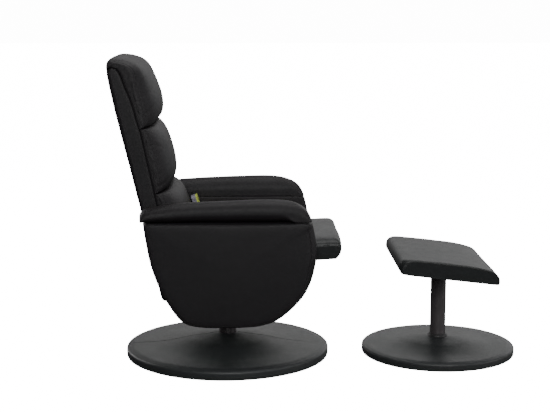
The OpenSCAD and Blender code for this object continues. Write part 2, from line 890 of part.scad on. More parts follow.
module back_brackets() {
    y1 = back_web_y + web_t;
    arm_l = norm(bar_place - back_pin);
    arm_turn = atan2(bar_place[1] - back_pin[1], bar_place[0] - back_pin[0]);
    color(black_steel)
        in_back_side()
            difference() {
                union() {
                    block([back_t, back_t + web_t], [y1 - back_flange_w, y1],
                        [0, back_flange_l]);
                    y_prism([[back_t, 0], [back_pin[0], back_pin[1] - web_r * web_share],
                        [back_pin[0], back_pin[1] + web_r * web_share], [back_t + web_t, web_top],
                        [back_t, web_top]], back_web_y, y1);
                    y_rod(back_pin[0], back_pin[1], back_web_y, y1, 2 * web_r);
                    y_rod(bar_place[0], bar_place[1], back_web_y, y1, 2 * bar_eye_r);
                    translate([back_pin[0], 0, back_pin[1]])
                        rotate([0, -arm_turn, 0])
                            block([0, arm_l], [back_web_y, y1],
                                [-web_r * web_share, web_r * web_share]);
                }
                y_rod(back_pin[0], back_pin[1], back_web_y - cut, y1 + cut,
                    pivot_d + 2 * bush_wall + 2 * fit);
                y_rod(bar_place[0], bar_place[1], back_web_y - cut, y1 + cut, bar_d + 2 * fit);
            }
}

module back_bushings() {
    y1 = back_web_y + web_t;
    color("ivory")
        in_back_side()
            difference() {
                union() {
                    y_rod(back_pin[0], back_pin[1], back_web_y, y1, pivot_d + 2 * bush_wall);
                    y_rod(back_pin[0], back_pin[1], y1, y1 + bush_flange, bush_flange_d);
                }
                y_rod(back_pin[0], back_pin[1], back_web_y - cut, y1 + bush_flange + cut,
                    pivot_d + 2 * fit);
            }
}

module back_cross_bar() {
    y1 = back_web_y + web_t;
    color(black_steel)
        in_back()
            difference() {
                y_rod(bar_place[0], bar_place[1], -y1, y1, bar_d);
                y_rod(bar_place[0], bar_place[1], -y1 - cut, y1 + cut, bar_d - 2 * bar_wall);
            }
}

// Cup that holds a massage motor, closed at z = 0 and open towards +Z
module motor_cup() {
    difference() {
        cylinder(d = motor_d, h = motor_h);
        translate([0, 0, motor_wall])
            cylinder(d = motor_d - 2 * motor_wall, h = motor_h);
    }
    translate([0, 0, motor_wall])
        ring(boss_d, motor_shaft_d + 2 * fit, boss_h);
}

// Off-centre weight on its shaft
module rotor() {
    z0 = motor_wall + boss_h;
    color(steel) {
        translate([0, 0, motor_wall + fit])
            cylinder(d = motor_shaft_d, h = motor_h - motor_wall - shaft_gap);
        difference() {
            translate([0, 0, z0 + shaft_gap / 2])
                cylinder(r = rotor_r, h = rotor_t);
            translate([-rotor_r - cut, rotor_hub_d / 2, z0])
                cube([2 * rotor_r + 2 * cut, 2 * rotor_r, rotor_t + shaft_gap]);
        }
    }
}

module at_back_motor(y, z) {
    in_back()
        translate([board_x - motor_h, y, z])
            rotate([0, 90, 0])
                children();
}

module back_motor_housings() {
    color(plastic)
        for (z = motor_z, y = [-motor_y, motor_y])
            at_back_motor(y, z)
                motor_cup();
}

module back_rotor_1() {
    at_back_motor(-motor_y, motor_z[0])
        rotor();
}

module back_rotor_2() {
    at_back_motor(motor_y, motor_z[0])
        rotor();
}

module back_rotor_3() {
    at_back_motor(-motor_y, motor_z[1])
        rotor();
}

module back_rotor_4() {
    at_back_motor(motor_y, motor_z[1])
        rotor();
}

// Gas spring: its cylinder turns on the chassis and its rod ends in a ring on the cross bar
bar_world = back_pivot + bar_arm * [cos(bar_angle), sin(bar_angle)];
gas_turn = atan2(bar_world[1] - gas_eye[1], bar_world[0] - gas_eye[0]);
gas_l = norm(bar_world - gas_eye);
ring_bore = bar_d + 2 * bar_play;

module in_gas() {
    translate([gas_eye[0], 0, gas_eye[1]])
        rotate([0, -gas_turn, 0])
            children();
}

module gas_cylinder() {
    color(black_steel)
        in_gas()
            difference() {
                union() {
                    y_rod(0, 0, -gas_eye_t / 2, gas_eye_t / 2, gas_eye_d - gas_end);
                    x_rod(0, 0, gas_eye_d / 2 - gas_end, gas_cyl_l, gas_d);
                }
                y_rod(0, 0, -gas_eye_t - cut, gas_eye_t + cut, gas_pin_d + 2 * fit);
                x_rod(0, 0, gas_eye_d, gas_cyl_l + cut, gas_rod_d + 2 * fit);
            }
}

module gas_rod() {
    ring_d = ring_bore + 2 * rod_ring_wall;
    color(steel)
        in_gas()
            difference() {
                union() {
                    x_rod(0, 0, gas_eye_d + rod_plug, gas_l - ring_bore / 2, gas_rod_d);
                    y_rod(gas_l, 0, -gas_eye_t / 2, gas_eye_t / 2, ring_d);
                }
                y_rod(gas_l, 0, -gas_eye_t / 2 - cut, gas_eye_t / 2 + cut, ring_bore);
            }
}

// The seat's own frame: its origin is the seat pivot, X runs forward along the seat
module in_seat() {
    translate([seat_pivot[0], 0, seat_pivot[1]])
        rotate([0, -seat_slope, 0])
            children();
}

seat_x = [-seat_rear, seat_l - seat_rear];
frame_x = [seat_x[0] + seat_foot_shares[0] * seat_l + soft_gap * 3,
    seat_x[0] + seat_foot_shares[1] * seat_l - soft_gap * 6];
frame_y = seat_w / 2 - seat_edge_foam - soft_gap;
function slat_x(k) = mix(frame_x[0] + frame_rail, frame_x[1] - frame_rail, k / (slat_count + 1));
frame_top = seat_frame_t - seat_bottom;

module seat_frame() {
    color(plywood)
        in_seat()
            difference() {
                block(frame_x, [-frame_y, frame_y], [-seat_bottom, frame_top]);
                difference() {
                    block([frame_x[0] + frame_rail, frame_x[1] - frame_rail],
                        [frame_rail - frame_y, frame_y - frame_rail],
                        [-seat_bottom - cut, frame_top + cut]);
                    for (k = [1:slat_count])
                        block([slat_x(k) - slat_w / 2, slat_x(k) + slat_w / 2],
                            [-frame_y, frame_y], [-seat_bottom - 2 * cut, slat_t - seat_bottom]);
                }
            }
}

module seat_webbing() {
    first = frame_x[0] + frame_rail;
    step = (frame_x[1] - frame_x[0] - 2 * frame_rail) / webbing_count;
    color("dimgray")
        in_seat()
            for (i = [0:webbing_count - 1])
                block([first + (i + 0.5) * step - webbing_w / 2,
                    first + (i + 0.5) * step + webbing_w / 2], [-frame_y, frame_y],
                    [frame_top, frame_top + webbing_t]);
}

// Seat cushion from its front foot over the nose and the top to its rear foot
seat_top_shares = [[0.957, 0.005], [0.9665, 0.06], [0.985, 0.2], [0.996, 0.36], [1, 0.5],
    [1, 0.63], [0.998, 0.76], [0.99, 0.875], [0.97, 0.95], [0.93, 0.99], [0.84, 1], [0.66, 1],
    [0.48, 0.99], [0.3, 0.965], [0.14, 0.93], [0.05, 0.88], [0.012, 0.76], [0, 0.48], [0.006, 0.2],
    [0.02, 0.005]];
seat_side_shares = [[0, 0.24, 0.54], [0.17, 0.12, 0.74], [0.5, 0.02, 0.86]];
seat_crown_shares = [[1, 0.945], [0.75, 0.985], [0.38, 0.995], [0, 1]];

module seat_cushion() {
    outer = curve(stretch(seat_top_shares, [seat_l, seat_t], [seat_x[0], -seat_bottom]), 26);
    n = len(outer) - 1;
    inner = [for (i = [0:n]) [min(max(outer[i][0], seat_x[0] + seat_foot_shares[0] * seat_l
        + (n - i) * foot_step), seat_x[0] + seat_foot_shares[1] * seat_l - i * foot_step),
        -seat_bottom]];
    h = seat_w / 2;
    b = h - seat_edge_foam;
    deep = seat_frame_t + webbing_t + soft_gap;
    crown = seat_crown_shares;
    sides = edge_spans(seat_side_shares, h, seat_edge_foam);
    m = len(seat_side_shares);
    spans = concat([for (k = [0:m - 1]) sides[k]], [[-b - soft_gap, 0, crown[0][1], 0]],
        [for (c = crown) [-b * c[0], 0, c[1], deep]],
        [for (c = backwards(crown)) if (c[0] > 0) [b * c[0], 0, c[1], deep]],
        [[b + soft_gap, 0, crown[0][1], 0]], [for (k = [m:2 * m - 1]) sides[k]]);
    color(seat_leather)
        in_seat()
            pillow(outer, inner, spans);
}

module seat_brackets() {
    y1 = seat_web_y + seat_web_t;
    under = -seat_bottom;
    color(black_steel)
        in_seat()
            on_both_sides()
                difference() {
                    union() {
                        block([-seat_flange_rear, seat_flange_l - seat_flange_rear],
                            [y1 - seat_flange_w, y1], [under - seat_web_t, under]);
                        block([-seat_flange_rear, seat_flange_l / 2], [seat_web_y, y1],
                            [-seat_web_drop, seat_web_h]);
                    }
                    y_rod(0, 0, seat_web_y - seat_pin_tip - cut, y1 + cut, pivot_d + 2 * fit);
                }
}

module at_seat_motor(y) {
    in_seat()
        translate([slat_x(1), y, -seat_bottom - motor_h])
            children();
}

module seat_motor_housings() {
    color(plastic)
        for (y = [-seat_motor_y, seat_motor_y])
            at_seat_motor(y)
                motor_cup();
}

module seat_rotor_1() {
    at_seat_motor(-seat_motor_y)
        rotor();
}

module seat_rotor_2() {
    at_seat_motor(seat_motor_y)
        rotor();
}

module lever_bracket() {
    z1 = -seat_bottom;
    in_w = lever_w + 2 * cheek_gap;
    color(black_steel)
        in_seat() {
            block([lever_x - in_w / 2 - cheek_t, lever_x + in_w / 2 + cheek_t],
                [lever_y - cheek_w / 2, lever_y + cheek_w / 2], [z1 - bridge_t, z1]);
            for (x = [lever_x - in_w / 2 - cheek_t, lever_x + in_w / 2])
                block([x, x + cheek_t], [lever_y - cheek_w / 2, lever_y + cheek_w / 2],
                    [z1 - lever_drop - lever_pin_d, z1 - bridge_t]);
            x_rod(lever_y, z1 - lever_drop, lever_x - in_w / 2 - cheek_t,
                lever_x + in_w / 2 + cheek_t, lever_pin_d);
        }
}

module release_lever() {
    z = -seat_bottom - lever_drop;
    color(plastic)
        in_seat()
            difference() {
                union() {
                    x_rod(lever_y, z, lever_x - lever_w / 2, lever_x + lever_w / 2,
                        lever_hub_d);
                    block([lever_x - lever_w / 2, lever_x + lever_w / 2],
                        [lever_y, lever_y + lever_l], [z - lever_t / 2, z + lever_t / 2]);
                    block([lever_x - paddle_l / 2, lever_x + paddle_l / 2],
                        [lever_y + lever_l - paddle_w, lever_y + lever_l],
                        [z - lever_t / 2, z + lever_t / 2]);
                }
                x_rod(lever_y, z, lever_x - lever_w, lever_x + lever_w,
                    lever_pin_d + 2 * fit);
            }
}

// The handset's own frame: Z along its length, X towards its keys
module in_handset() {
    in_seat()
        translate([handset_x, handset_y, handset_lift])
            rotate([0, -handset_tilt, 0])
                translate([0, 0, handset_t / 2 * sin(handset_tilt)])
                    children();
}

function handset_outline(d) = [for (p = rounded(handset_w - 2 * d, handset_l - 2 * d,
    handset_r - d)) p + [0, handset_l / 2]];
key_face = handset_t / 2;
split_x = key_face - bezel_t;

module handset_rear_case() {
    color(plastic)
        in_handset()
            difference() {
                x_prism(handset_outline(0), -key_face, split_x);
                x_prism(handset_outline(handset_wall), handset_wall - key_face, split_x + cut);
            }
}

module handset_front_case() {
    color(accent)
        in_handset()
            difference() {
                x_prism(handset_outline(0), split_x, key_face);
                x_prism(handset_outline(handset_wall), split_x - cut, key_face - handset_wall);
                for (s = button_shares)
                    x_rod(0, s * handset_l, split_x, key_face + cut, button_d + 2 * button_gap);
            }
}

module handset_board() {
    back = key_face - handset_wall - pcb_back - pcb_t;
    color("seagreen")
        in_handset()
            x_prism(handset_outline(handset_wall + soft_gap), back, back + pcb_t);
}

module button(k) {
    back = key_face - handset_wall - button_gap;
    color("dimgray")
        in_handset()
            translate([0, 0, button_shares[k] * handset_l]) {
                x_rod(0, 0, back - button_flange_t, back, button_d + 2 * button_flange);
                x_rod(0, 0, back, key_face + button_proud, button_d);
            }
}

module button_power() {
    button(0);
}

module button_mode() {
    button(1);
}

module button_back() {
    button(2);
}

module button_seat() {
    button(3);
}

// Footstool
module stool_floor_pad() {
    color(black_steel)
        translate([stool_reach, 0, 0])
            cylinder(r = stool_r - felt_inset, h = felt_t, $fn = 96);
}

module stool_base_plate() {
    color(steel)
        translate([stool_reach, 0, felt_t])
            cylinder(r = stool_r - plate_inset, h = base_plate_t, $fn = 96);
}

module stool_base_cover() {
    color(seat_leather)
        translate([stool_reach, 0, 0])
            trumpet(stool_r, stool_post_d / 2 + soft_gap, stool_rim_h, stool_neck_h);
}

// The pad's own frame: its origin is above the post, X points away from the chair
module in_stool() {
    translate([stool_reach, 0, stool_h])
        rotate([0, stool_slope, 0])
            translate([-stool_l / 2 + stool_pad_mid, 0, 0])
                children();
}

module stool_post() {
    half = stool_top_plate / 2;
    mid = stool_l / 2 - stool_pad_mid;
    color(black_steel) {
        translate([stool_reach, 0, plate_top])
            cylinder(d = stool_flange_d, h = flange_t);
        difference() {
            translate([stool_reach, 0, plate_top + flange_t])
                ring(stool_post_d, stool_post_d - 2 * post_wall, stool_h);
            in_stool()
                block([0, 2 * mid], [-half, half], [-stool_top_plate_t, stool_h]);
        }
        in_stool()
            block([mid - half, mid + half], [-half, half], [-stool_top_plate_t, 0]);
    }
}

module stool_pad_board() {
    color(plywood)
        in_stool()
            block([stool_board_rear, stool_board_rear + stool_board_l],
                [stool_board_edge - stool_w / 2, stool_w / 2 - stool_board_edge],
                [0, stool_board_t]);
}

// Pad outline from its far tip over the top to the end by the chair, and its underside
stool_top_shares = [[0.985, 0.08], [1, 0.2], [0.998, 0.36], [0.982, 0.58], [0.945, 0.78],
    [0.885, 0.9], [0.79, 0.96], [0.66, 0.99], [0.45, 1.01], [0.25, 1.01], [0.12, 1], [0.06, 0.93],
    [0.02, 0.76], [0, 0.52], [0.015, 0.28], [0.04, 0.12]];
stool_under_shares = [[0.955, 0.02], [0.953, 0.015], [0.947, 0.01], [0.935, 0.005], [0.915, 0],
    [0.87, 0], [0.785, 0], [0.66, 0], [0.45, 0], [0.26, 0], [0.15, 0], [0.105, 0.005],
    [0.085, 0.01], [0.073, 0.02], [0.065, 0.03], [0.06, 0.04]];
stool_side_shares = [[0, 0.34, 0.66], [0.13, 0.12, 0.88], [0.44, 0, 0.97]];
stool_crown_shares = [[1, 0.99], [0.5, 1]];

module stool_pad() {
    size = [stool_l, stool_t];
    outer = curve(stretch(stool_top_shares, size, [0, 0]), 20);
    inner = curve(stretch(stool_under_shares, size, [0, 0]), 20);
    h = stool_w / 2;
    b = h - stool_board_edge + soft_gap;
    deep = stool_board_t + 3 * soft_gap;
    crown = stool_crown_shares;
    sides = edge_spans(stool_side_shares, h, stool_board_edge);
    m = len(stool_side_shares);
    spans = concat([for (k = [0:m - 1]) sides[k]], [[-b - soft_gap, 0, crown[0][1], 0]],
        [for (c = crown) [-b * c[0], 0, c[1], deep]],
        [for (c = backwards(crown)) [b * c[0], 0, c[1], deep]],
        [[b + soft_gap, 0, crown[0][1], 0]], [for (k = [m:2 * m - 1]) sides[k]]);
    color(seat_leather)
        in_stool()
            pillow(outer, inner, spans);
}

floor_pad();
base_plate();
base_cover();
column_tube();
base_bolts();
column_bushings();
thrust_washer();
spindle();
spindle_clip();
swivel_plate();
chassis_rails();
chassis_cross_tubes();
chassis_end_plates();
chassis_bolts();
hinge_pins();
control_box();
dc_inlet();
right_side_board();
left_side_board();
right_side_pad();
left_side_pad();
right_arm_pad();
left_arm_pad();
back_frame();
back_shell();
head_cushion();
middle_cushion();
lumbar_cushion();
back_brackets();
back_cross_bar();
back_bushings();
back_motor_housings();
back_rotor_1();
back_rotor_2();
back_rotor_3();
back_rotor_4();
gas_cylinder();
gas_rod();
seat_frame();
seat_webbing();
seat_cushion();
seat_brackets();
seat_motor_housings();
seat_rotor_1();
seat_rotor_2();
lever_bracket();
release_lever();
handset_rear_case();
handset_front_case();
handset_board();
button_power();
button_mode();
button_back();
button_seat();
stool_floor_pad();
stool_base_plate();
stool_base_cover();
stool_post();
stool_pad_board();
stool_pad();
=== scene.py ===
import json
import math

import bmesh
import bpy
import numpy as np
from mathutils import Matrix, Vector, noise


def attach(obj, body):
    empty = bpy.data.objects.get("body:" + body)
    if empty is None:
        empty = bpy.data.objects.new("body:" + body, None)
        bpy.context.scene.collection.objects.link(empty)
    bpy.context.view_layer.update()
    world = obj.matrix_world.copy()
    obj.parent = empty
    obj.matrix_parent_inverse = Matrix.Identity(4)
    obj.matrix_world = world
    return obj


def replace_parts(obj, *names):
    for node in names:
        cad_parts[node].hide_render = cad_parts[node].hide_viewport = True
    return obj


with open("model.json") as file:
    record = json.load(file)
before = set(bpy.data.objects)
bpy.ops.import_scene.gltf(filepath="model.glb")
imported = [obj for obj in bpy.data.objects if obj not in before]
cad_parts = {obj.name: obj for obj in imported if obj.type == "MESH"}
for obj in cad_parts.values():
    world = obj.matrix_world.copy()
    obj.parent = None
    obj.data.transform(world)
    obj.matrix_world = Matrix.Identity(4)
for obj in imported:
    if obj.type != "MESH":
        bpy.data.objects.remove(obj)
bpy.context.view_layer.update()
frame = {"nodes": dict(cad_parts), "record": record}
nodes = frame["nodes"]
MM = 0.001

# Sizes in mm, as the CAD has them
SIDE_BACK, SIDE_Z, SIDE_L, SIDE_H = 278, 165, 573, 419
INNER_Y, SIDE_T, BOARD_T, ARM_W = 240, 76, 24, 90
BACK_W, BACK_T, BACK_L = 472, 56, 784
CUSHION_T, CUSHION_FOOT, LUMBAR_L, MIDDLE_L, HEAD_L = 72, 178, 178, 216, 226
MIDDLE_FOOT = CUSHION_FOOT + LUMBAR_L
HEAD_FOOT = MIDDLE_FOOT + MIDDLE_L
LUMBAR_DEPTH = 1.2
SEAT_W, SEAT_L, SEAT_T, SEAT_REAR, SEAT_BOTTOM = 456, 549, 68, 14, 1
STOOL_REACH, STOOL_L, STOOL_W, STOOL_T, STOOL_H, STOOL_MID = 735, 346, 446, 53, 305, -3
BASE_R, NECK_R, RIM_H, NECK_H = 350, 30, 33, 77
STOOL_BASE_R, STOOL_NECK_R, STOOL_RIM_H, STOOL_NECK_H = 265, 27, 28, 61
SKIN, GAP = 3, 0.3

# Hinges of the back and the seat as x, z, leans in degrees, and the back's hinge from its foot
BACK_PIN, BACK_LEAN, PIN_BEHIND, PIN_UP = (-150, 262), 11.9, 10.8, 11.5
SEAT_PIN, SEAT_SLOPE, STOOL_SLOPE = (-150, 350), 3.4, 6.6

# Outlines as shares of a piece's length and height, front or top side first
SIDE_LOW = [[0.019, 0.826], [0.033, 0.69], [0.058, 0.515], [0.1, 0.344], [0.147, 0.212],
    [0.214, 0.078], [0.27, 0.026], [0.363, 0.004], [0.485, 0], [0.6, 0.005], [0.691, 0.02],
    [0.794, 0.075], [0.91, 0.224], [0.967, 0.368], [0.9965, 0.5415], [0.998, 0.634],
    [0.981, 0.775], [0.97, 0.824]]
ARM_TOP = [[0.969, 0.842], [0.957, 0.88], [0.933, 0.928], [0.883, 0.974], [0.8, 1.002],
    [0.66, 1.006], [0.485, 0.998], [0.232, 0.981], [0.119, 0.96], [0.035, 0.937], [0.006, 0.905],
    [0.003, 0.86]]
ARM_UNDER = [[0.95, 0.839], [0.925, 0.838], [0.88, 0.838], [0.8, 0.838], [0.62, 0.838],
    [0.42, 0.838], [0.22, 0.838], [0.1, 0.838], [0.05, 0.839], [0.018, 0.84]]
SHELL_TOP = [[0.93, 1], [0.6, 1], [0.25, 0.9995], [0.03, 0.998], [-0.1, 0.99], [-0.15, 0.96],
    [-0.165, 0.84], [-0.12, 0.7], [-0.05, 0.55], [0, 0.4], [0.02, 0.25], [0.01, 0.1],
    [0.02, 0.025], [0.1, 0.006], [0.3, 0], [0.6, 0], [0.93, 0]]
HEAD_FRONT = [[0.02, 0], [0.3, 0.002], [0.5, 0.01], [0.7, 0.035], [0.86, 0.1], [0.96, 0.19],
    [1, 0.3], [0.99, 0.42], [0.91, 0.57], [0.79, 0.72], [0.67, 0.82], [0.53, 0.882],
    [0.35, 0.935], [0.12, 0.98], [-0.13, 1.022], [-0.42, 1.055], [-0.66, 1.062],
    [-0.8, 1.038], [-0.866, 0.99], [-0.889, 0.94], [-0.889, 0.9]]
CUSHION = [[0.02, 0.003], [0.3, 0.004], [0.5, 0.012], [0.7, 0.04], [0.86, 0.11], [0.96, 0.22],
    [1, 0.36], [0.99, 0.53], [0.94, 0.7], [0.85, 0.83], [0.72, 0.92], [0.56, 0.973],
    [0.38, 0.994], [0.02, 0.997]]
SEAT_TOP = [[0.957, 0.005], [0.9665, 0.06], [0.985, 0.2], [0.996, 0.36], [1, 0.5], [1, 0.63],
    [0.999, 0.77], [0.993, 0.885], [0.978, 0.96], [0.945, 0.995], [0.86, 1], [0.66, 1],
    [0.48, 0.99], [0.3, 0.965], [0.14, 0.93], [0.05, 0.88], [0.012, 0.76], [0, 0.48],
    [0.006, 0.2], [0.02, 0.005]]
STOOL_TOP = [[0.992, 0.03], [1, 0.14], [0.999, 0.32], [0.984, 0.55], [0.945, 0.75],
    [0.885, 0.87], [0.79, 0.95], [0.66, 1], [0.45, 1.02], [0.28, 1.01], [0.16, 0.995],
    [0.108, 0.975], [0.072, 0.94], [0.046, 0.84], [0.0305, 0.69], [0.025, 0.5], [0.03, 0.25],
    [0.05, 0.04]]
STOOL_UNDER = [[0.978, 0.01], [0.97, 0.008], [0.96, 0.006], [0.945, 0.003], [0.915, 0],
    [0.87, 0], [0.785, 0], [0.66, 0], [0.45, 0], [0.26, 0], [0.17, 0], [0.125, 0.003],
    [0.11, 0.005], [0.1, 0.008], [0.094, 0.009], [0.088, 0.01], [0.084, 0.012], [0.08, 0.015]]
COVER = [[0.965, 0.05], [0.99, 0.1], [0.999, 0.24], [1, 0.55], [0.9995, 0.84], [0.993, 0.965],
    [0.978, 1.03], [0.955, 1.065], [0.92, 1.115], [0.86, 1.135], [0.76, 1.17], [0.647, 1.225],
    [0.53, 1.335], [0.41, 1.495], [0.31, 1.655], [0.2, 1.78], [0.094, 1.885], [0, 2]]


# Geometry helpers, in mm
def curve(points, n):
    """n samples of the smooth curve through the points."""
    p = np.asarray(points, float)
    s = np.linspace(0, len(p) - 1, n)
    k = np.minimum(np.floor(s).astype(int), len(p) - 2)
    t = (s - k)[:, None]
    a, b, c, d = p[np.maximum(k - 1, 0)], p[k], p[k + 1], p[np.minimum(k + 2, len(p) - 1)]
    return (b * 2 + (c - a) * t + (a * 2 - b * 5 + c * 4 - d) * t * t
        + (b * 3 - a - c * 3 + d) * t ** 3) / 2


def stretch(shares, size, start):
    """An outline's shares as places in mm."""
    return np.asarray(shares, float) * size + start


def arc(line):
    """Distance along the line at each of its points."""
    return np.r_[0, np.cumsum(np.linalg.norm(np.diff(line, axis=0), axis=1))]


def even(line, n):
    """The line again, as n points at even distances."""
    d = arc(line)
    at = np.linspace(0, d[-1], n)
    return np.stack([np.interp(at, d, line[:, k]) for k in range(line.shape[1])], 1)


def tilt(pivot, degrees, pin=(0, 0)):
    """Local places to places in the room, for a piece that leans back about a pivot."""
    c, s = math.cos(math.radians(degrees)), math.sin(math.radians(degrees))

    def place(p):
        x, z = p[..., 0] - pin[0], p[..., 2] - pin[1]
        return np.stack([pivot[0] + x * c - z * s, p[..., 1], pivot[1] + x * s + z * c], -1)
    return place


in_back = tilt(BACK_PIN, BACK_LEAN, (BACK_T + PIN_BEHIND, PIN_UP))
in_seat = tilt(SEAT_PIN, SEAT_SLOPE)
in_stool = tilt((STOOL_REACH, STOOL_H), -STOOL_SLOPE, (STOOL_L / 2 - STOOL_MID, 0))


def smooth(x):
    """0 below 0, 1 above 1, and a soft rise between."""
    x = np.clip(x, 0, 1)
    return x * x * (3 - 2 * x)


def bell(d, width):
    """1 at no distance, falling away over the width."""
    return np.exp(-(d / width) ** 2)


def wander(p, scale, seed):
    """Soft noise from -1 to 1 at each point of an array, with features about scale mm wide."""
    flat = (p.reshape(-1, 3) / scale + seed * 7.3).tolist()
    return np.array([noise.noise(Vector(q)) for q in flat]).reshape(p.shape[:-1])


def normals(grid, closed):
    """Unit normals of a grid of points, closed along its second axis or not."""
    di = np.gradient(grid, axis=0)
    if closed:
        dj = (np.roll(grid, -1, 1) - np.roll(grid, 1, 1)) / 2
    else:
        dj = np.gradient(grid, axis=1)
    n = np.cross(dj, di)
    return n / (np.linalg.norm(n, axis=-1, keepdims=True) + 1e-9)


def mesh_object(name, points, faces, material):
    """A smooth-shaded object from points in mm."""
    mesh = bpy.data.meshes.new(name)
    mesh.from_pydata((np.asarray(points) * MM).tolist(), [], faces)
    mesh.validate()
    mesh.update()
    mesh.materials.append(material)
    mesh.polygons.foreach_set("use_smooth", [True] * len(mesh.polygons))
    obj = bpy.data.objects.new(name, mesh)
    bpy.context.scene.collection.objects.link(obj)
    return obj


def band(rows, m, closed=True, start=0):
    """Quads between rows of m points each."""
    faces = []
    last = m if closed else m - 1
    for i in range(rows - 1):
        a = start + i * m
        faces += [(a + j, a + (j + 1) % m, a + m + (j + 1) % m, a + m + j) for j in range(last)]
    return faces


def outward(obj):
    """Turns all faces outwards."""
    bm = bmesh.new()
    bm.from_mesh(obj.data)
    bmesh.ops.recalc_face_normals(bm, faces=bm.faces)
    bm.to_mesh(obj.data)
    bm.free()
    return obj


# Materials
def new_material(name):
    """A material with its node tree and its shader."""
    mat = bpy.data.materials.new(name)
    mat.use_nodes = True
    nt = mat.node_tree
    return mat, nt, nt.nodes["Principled BSDF"]


def add(nt, kind, inputs=None, **settings):
    """A new node with its inputs and settings."""
    n = nt.nodes.new(kind)
    for k, v in settings.items():
        setattr(n, k, v)
    for k, v in (inputs or {}).items():
        n.inputs[k].default_value = v
    return n


def link(nt, a, out, b, into):
    """Joins an output of node a to an input of node b."""
    nt.links.new(a.outputs[out], b.inputs[into])


def ramp(nt, source, out, low, high, a, b):
    """A value or colour that goes from a to b as the source goes from low to high."""
    n = add(nt, "ShaderNodeValToRGB")
    n.color_ramp.elements[0].position = low
    n.color_ramp.elements[1].position = high
    n.color_ramp.elements[0].color = (*a, 1)
    n.color_ramp.elements[1].color = (*b, 1)
    link(nt, source, out, n, "Fac")
    return n


def leather(name, colour, worn, rough, specular, depth=0.5):
    """Faux leather: pebble grain, fine pores, soft creases, and rubbed high places."""
    mat, nt, shader = new_material(name)
    shader.inputs["Specular IOR Level"].default_value = specular
    where = add(nt, "ShaderNodeTexCoord")
    drift = add(nt, "ShaderNodeTexNoise", {"Scale": 420.0, "Detail": 2.0})
    link(nt, where, "Object", drift, "Vector")
    bend = add(nt, "ShaderNodeMixRGB", {"Fac": 0.0012})
    link(nt, where, "Object", bend, "Color1")
    link(nt, drift, "Color", bend, "Color2")
    grain = add(nt, "ShaderNodeTexVoronoi", {"Scale": 780.0}, feature="DISTANCE_TO_EDGE")
    link(nt, bend, "Color", grain, "Vector")
    valley = add(nt, "ShaderNodeMapRange", {"From Min": 0.0, "From Max": 0.22})
    link(nt, grain, "Distance", valley, "Value")
    soft = add(nt, "ShaderNodeTexNoise", {"Scale": 55.0, "Detail": 5.0, "Roughness": 0.6})
    link(nt, where, "Object", soft, "Vector")
    broad = add(nt, "ShaderNodeTexNoise", {"Scale": 9.0, "Detail": 3.0})
    link(nt, where, "Object", broad, "Vector")
    tone = ramp(nt, broad, "Fac", 0.3, 0.75, colour, [c * 1.08 + 0.0005 for c in colour])
    geometry = add(nt, "ShaderNodeNewGeometry")
    high = ramp(nt, geometry, "Pointiness", 0.5, 0.62, (0, 0, 0), (1, 1, 1))
    rubbed = add(nt, "ShaderNodeMixRGB", {"Color2": (*worn, 1)})
    link(nt, high, "Color", rubbed, "Fac")
    link(nt, tone, "Color", rubbed, "Color1")
    pores = add(nt, "ShaderNodeMixRGB", {"Fac": 0.35}, blend_type="MULTIPLY")
    link(nt, rubbed, "Color", pores, "Color1")
    link(nt, valley, "Result", pores, "Color2")
    link(nt, pores, "Color", shader, "Base Color")
    shine = add(nt, "ShaderNodeMapRange",
        {"From Min": 0.25, "From Max": 0.75, "To Min": rough - 0.03, "To Max": rough + 0.04})
    link(nt, soft, "Fac", shine, "Value")
    link(nt, shine, "Result", shader, "Roughness")
    dents = add(nt, "ShaderNodeBump", {"Strength": 0.15, "Distance": 0.0003})
    link(nt, soft, "Fac", dents, "Height")
    pebbles = add(nt, "ShaderNodeBump", {"Strength": depth, "Distance": 0.00018})
    link(nt, valley, "Result", pebbles, "Height")
    link(nt, dents, "Normal", pebbles, "Normal")
    link(nt, pebbles, "Normal", shader, "Normal")
    return mat


def speckled(name, colour, rough, metallic=0.0, scale=900.0, depth=0.0001, spread=0.12,
        specular=0.5):
    """Moulded plastic, powder coat, nylon or felt: a fine texture with a little colour change."""
    mat, nt, shader = new_material(name)
    shader.inputs["Metallic"].default_value = metallic
    shader.inputs["Specular IOR Level"].default_value = specular
    where = add(nt, "ShaderNodeTexCoord")
    fine = add(nt, "ShaderNodeTexNoise", {"Scale": scale, "Detail": 3.0})
    link(nt, where, "Object", fine, "Vector")
    slow = add(nt, "ShaderNodeTexNoise", {"Scale": 14.0, "Detail": 4.0})
    link(nt, where, "Object", slow, "Vector")
    tone = ramp(nt, slow, "Fac", 0.3, 0.7, [c * (1 - spread) for c in colour],
        [min(1, c * (1 + spread)) for c in colour])
    link(nt, tone, "Color", shader, "Base Color")
    shine = add(nt, "ShaderNodeMapRange",
        {"From Min": 0.3, "From Max": 0.7, "To Min": rough - 0.05, "To Max": rough + 0.05})
    link(nt, slow, "Fac", shine, "Value")
    link(nt, shine, "Result", shader, "Roughness")
    bump = add(nt, "ShaderNodeBump", {"Strength": 0.4, "Distance": depth})
    link(nt, fine, "Fac", bump, "Height")
    link(nt, bump, "Normal", shader, "Normal")
    return mat


def brushed(name, colour, rough):
    """Zinc-plated steel with drawn lines along its length."""
    mat = speckled(name, colour, rough, metallic=1.0, scale=260.0, depth=0.00005, spread=0.08)
    nt = mat.node_tree
    fine = next(n for n in nt.nodes if n.type == "TEX_NOISE")
    squeeze = add(nt, "ShaderNodeMapping", {"Scale": (0.2, 6.0, 1.0)})
    where = next(n for n in nt.nodes if n.type == "TEX_COORD")
    link(nt, where, "Object", squeeze, "Vector")
    link(nt, squeeze, "Vector", fine, "Vector")
    return mat


